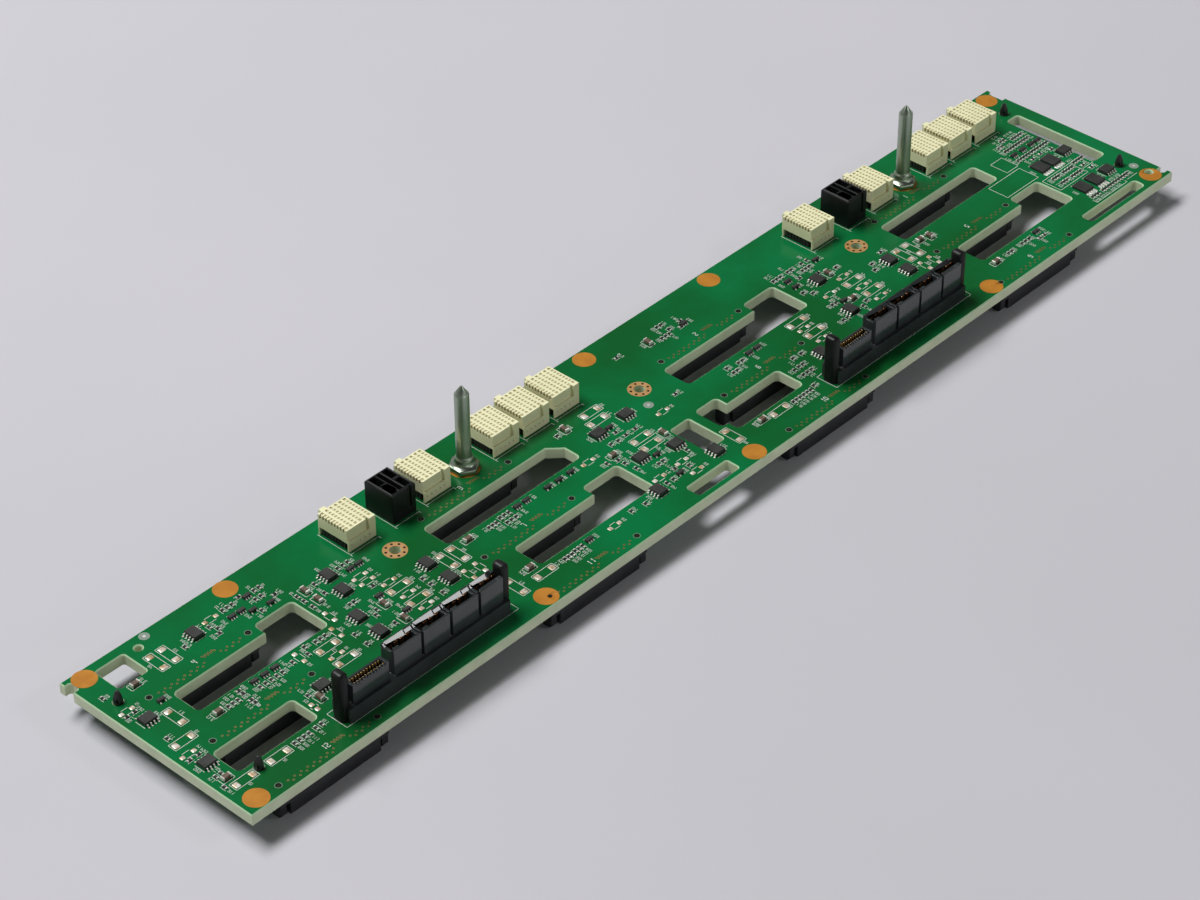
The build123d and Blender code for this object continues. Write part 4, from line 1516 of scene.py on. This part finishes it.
for loop in outline_loops():
    low = [min(point[i] for point in loop) for i in range(2)]
    high = [max(point[i] for point in loop) for i in range(2)]
    if high[0] - low[0] < 0.5 * (board_high.x - board_low.x):
        keep_clear(*on_plan(low, high, slot_margin, slot_margin))
keep_round(plain_lands + screw_lands + [middle for middle, _, _ in drilled_lands], land_reach)
keep_round(pin_centres, pin_reach)
keep_round(tail_holes, hole_reach)
for low, high in solids_of("driver_chips"):
    wide = high.x - low.x > high.y - low.y
    margins = (end_margin, lead_margin) if wide else (lead_margin, end_margin)
    box = on_plan(low, high, *margins)
    left, front, right, back = box
    if wide:
        for along in (left, right):
            line((along, front + lead_margin), (along, back - lead_margin))
    else:
        for across in (front, back):
            line((left + lead_margin, across), (right - lead_margin, across))
    number_later(box)
for low, high in solids_of("ceramic_capacitors"):
    box = on_plan(low, high, *capacitor_margins)
    frame_lines(*box)
    number_later(box)
for node in ("power_chips", "resistor_arrays"):
    for low, high in solids_of(node):
        number_later(on_plan(low, high, *package_margins))
for along, across in transistor_centres:
    reach = transistor_reach
    number_later((along - reach[0], across - reach[1], along + reach[0], across + reach[1]))
for box in group_frames:
    frame_lines(*box)
for start, end in group_lines:
    line(start, end)
for node in supply_nodes:
    left, front, right, back = on_plan(*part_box(node), *supply_margins)
    box = (left, front, right + supply_right, back + supply_back)
    frame_lines(*box)
    keep_clear(*box)
for node in header_nodes + power_nodes:
    left, front, right, back = on_plan(*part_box(node), *header_margins)
    end = right - header_margins[0]
    line((left, front), (end, front))
    line((left, front - corner_length), (left, front + rail_length))
    line((end, front - corner_length), (end, front))
    keep_clear(left, front, right, back)
for number, node in enumerate(socket_nodes, start=1):
    left, front, right, back = on_plan(*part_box(node))
    across = (front + back) / 2 + digit_back
    print_number(number, (left + right) / 2 - digit_aside, across, bay_digit)
for number, box in enumerate(numbered, start=11):
    number_beside(number, box)
ink_places = []
for start, end, width in silk:
    reach = Vector((end[0] - start[0], end[1] - start[1]))
    middle = ((start[0] + end[0]) / 2, (start[1] + end[1]) / 2)
    turn = math.atan2(reach.y, reach.x)
    ink_places.append((on_board(*middle, ink_height / 2), turn, (reach.length + width, width, ink_height)))
unit_block = block_mesh("unit_block", [((-0.5, -0.5, -0.5), (0.5, 0.5, 0.5))])
set_out("printed_legend", unit_block, ink_places, ink)


# Setting: a floor of plain pale paper, in a room whose walls are pale and whose ceiling is dark.
# One large soft lamp hangs above and behind the board, and two weak ones stand in front of it.
floor_mesh = bpy.data.meshes.new("floor")
floor_mesh.from_pydata([(-4, -4, 0), (4, -4, 0), (4, 4, 0), (-4, 4, 0)], [], [(0, 1, 2, 3)])
floor = placed("floor", floor_mesh)
floor_paper = finish(
    "floor_paper", (0.56, 0.55, 0.59), (0.53, 0.525, 0.56), 3.0, 700.0, (0.8, 0.9), 0.05
)
floor_mesh.materials.append(floor_paper)

world = bpy.data.worlds.new("studio")
bpy.context.scene.world = world
world.use_nodes = True
room = world.node_tree
looking = add(room, "ShaderNodeTexCoord").outputs["Generated"]
upward = add(room, "ShaderNodeSeparateXYZ", {0: looking}).outputs["Z"]
overhead = add(room, "ShaderNodeMapRange", {"Value": upward, "From Min": 0.0, "From Max": 0.65}).outputs[0]
walls = blend_colours(room, overhead, colour(0.42, 0.42, 0.42), colour(0.02, 0.02, 0.02))
room.links.new(walls, room.nodes["Background"].inputs["Color"])


def soft_lamp(name, place, size, power):
    """A rectangular lamp that faces the middle of the floor."""
    data = bpy.data.lights.new(name, "AREA")
    data.shape = "RECTANGLE"
    data.size, data.size_y = size
    data.energy = power
    lamp = placed(name, data)
    lamp.location = place
    lamp.rotation_mode = "QUATERNION"
    lamp.rotation_quaternion = (-Vector(place)).to_track_quat("-Z", "Y")


soft_lamp("key", (-0.50, 1.38, 2.62), (2.2, 0.8), 102.0)
soft_lamp("front", (-0.30, -2.60, 0.70), (1.6, 0.3), 5.0)
soft_lamp("side", (0.85, -1.27, 1.07), (0.5, 0.16), 3.0)

camera_place = Vector((-0.6529, -0.5746, 0.66235))
camera_right = Vector((0.67712, -0.73589, -0.00537))
camera_up = Vector((0.45248, 0.41057, 0.79165))
camera_back = Vector((-0.58036, -0.53848, 0.61095))
camera_data = bpy.data.cameras.new("photo_view")
camera_data.lens = 100.79
camera_data.sensor_width = 36.0
camera_data.clip_end = 50.0
camera = placed("photo_view", camera_data)
turned = Matrix((camera_right, camera_up, camera_back)).transposed().to_4x4()
camera.matrix_world = Matrix.Translation(camera_place) @ turned
bpy.context.scene.camera = camera
bpy.context.scene.view_settings.view_transform = "Standard"
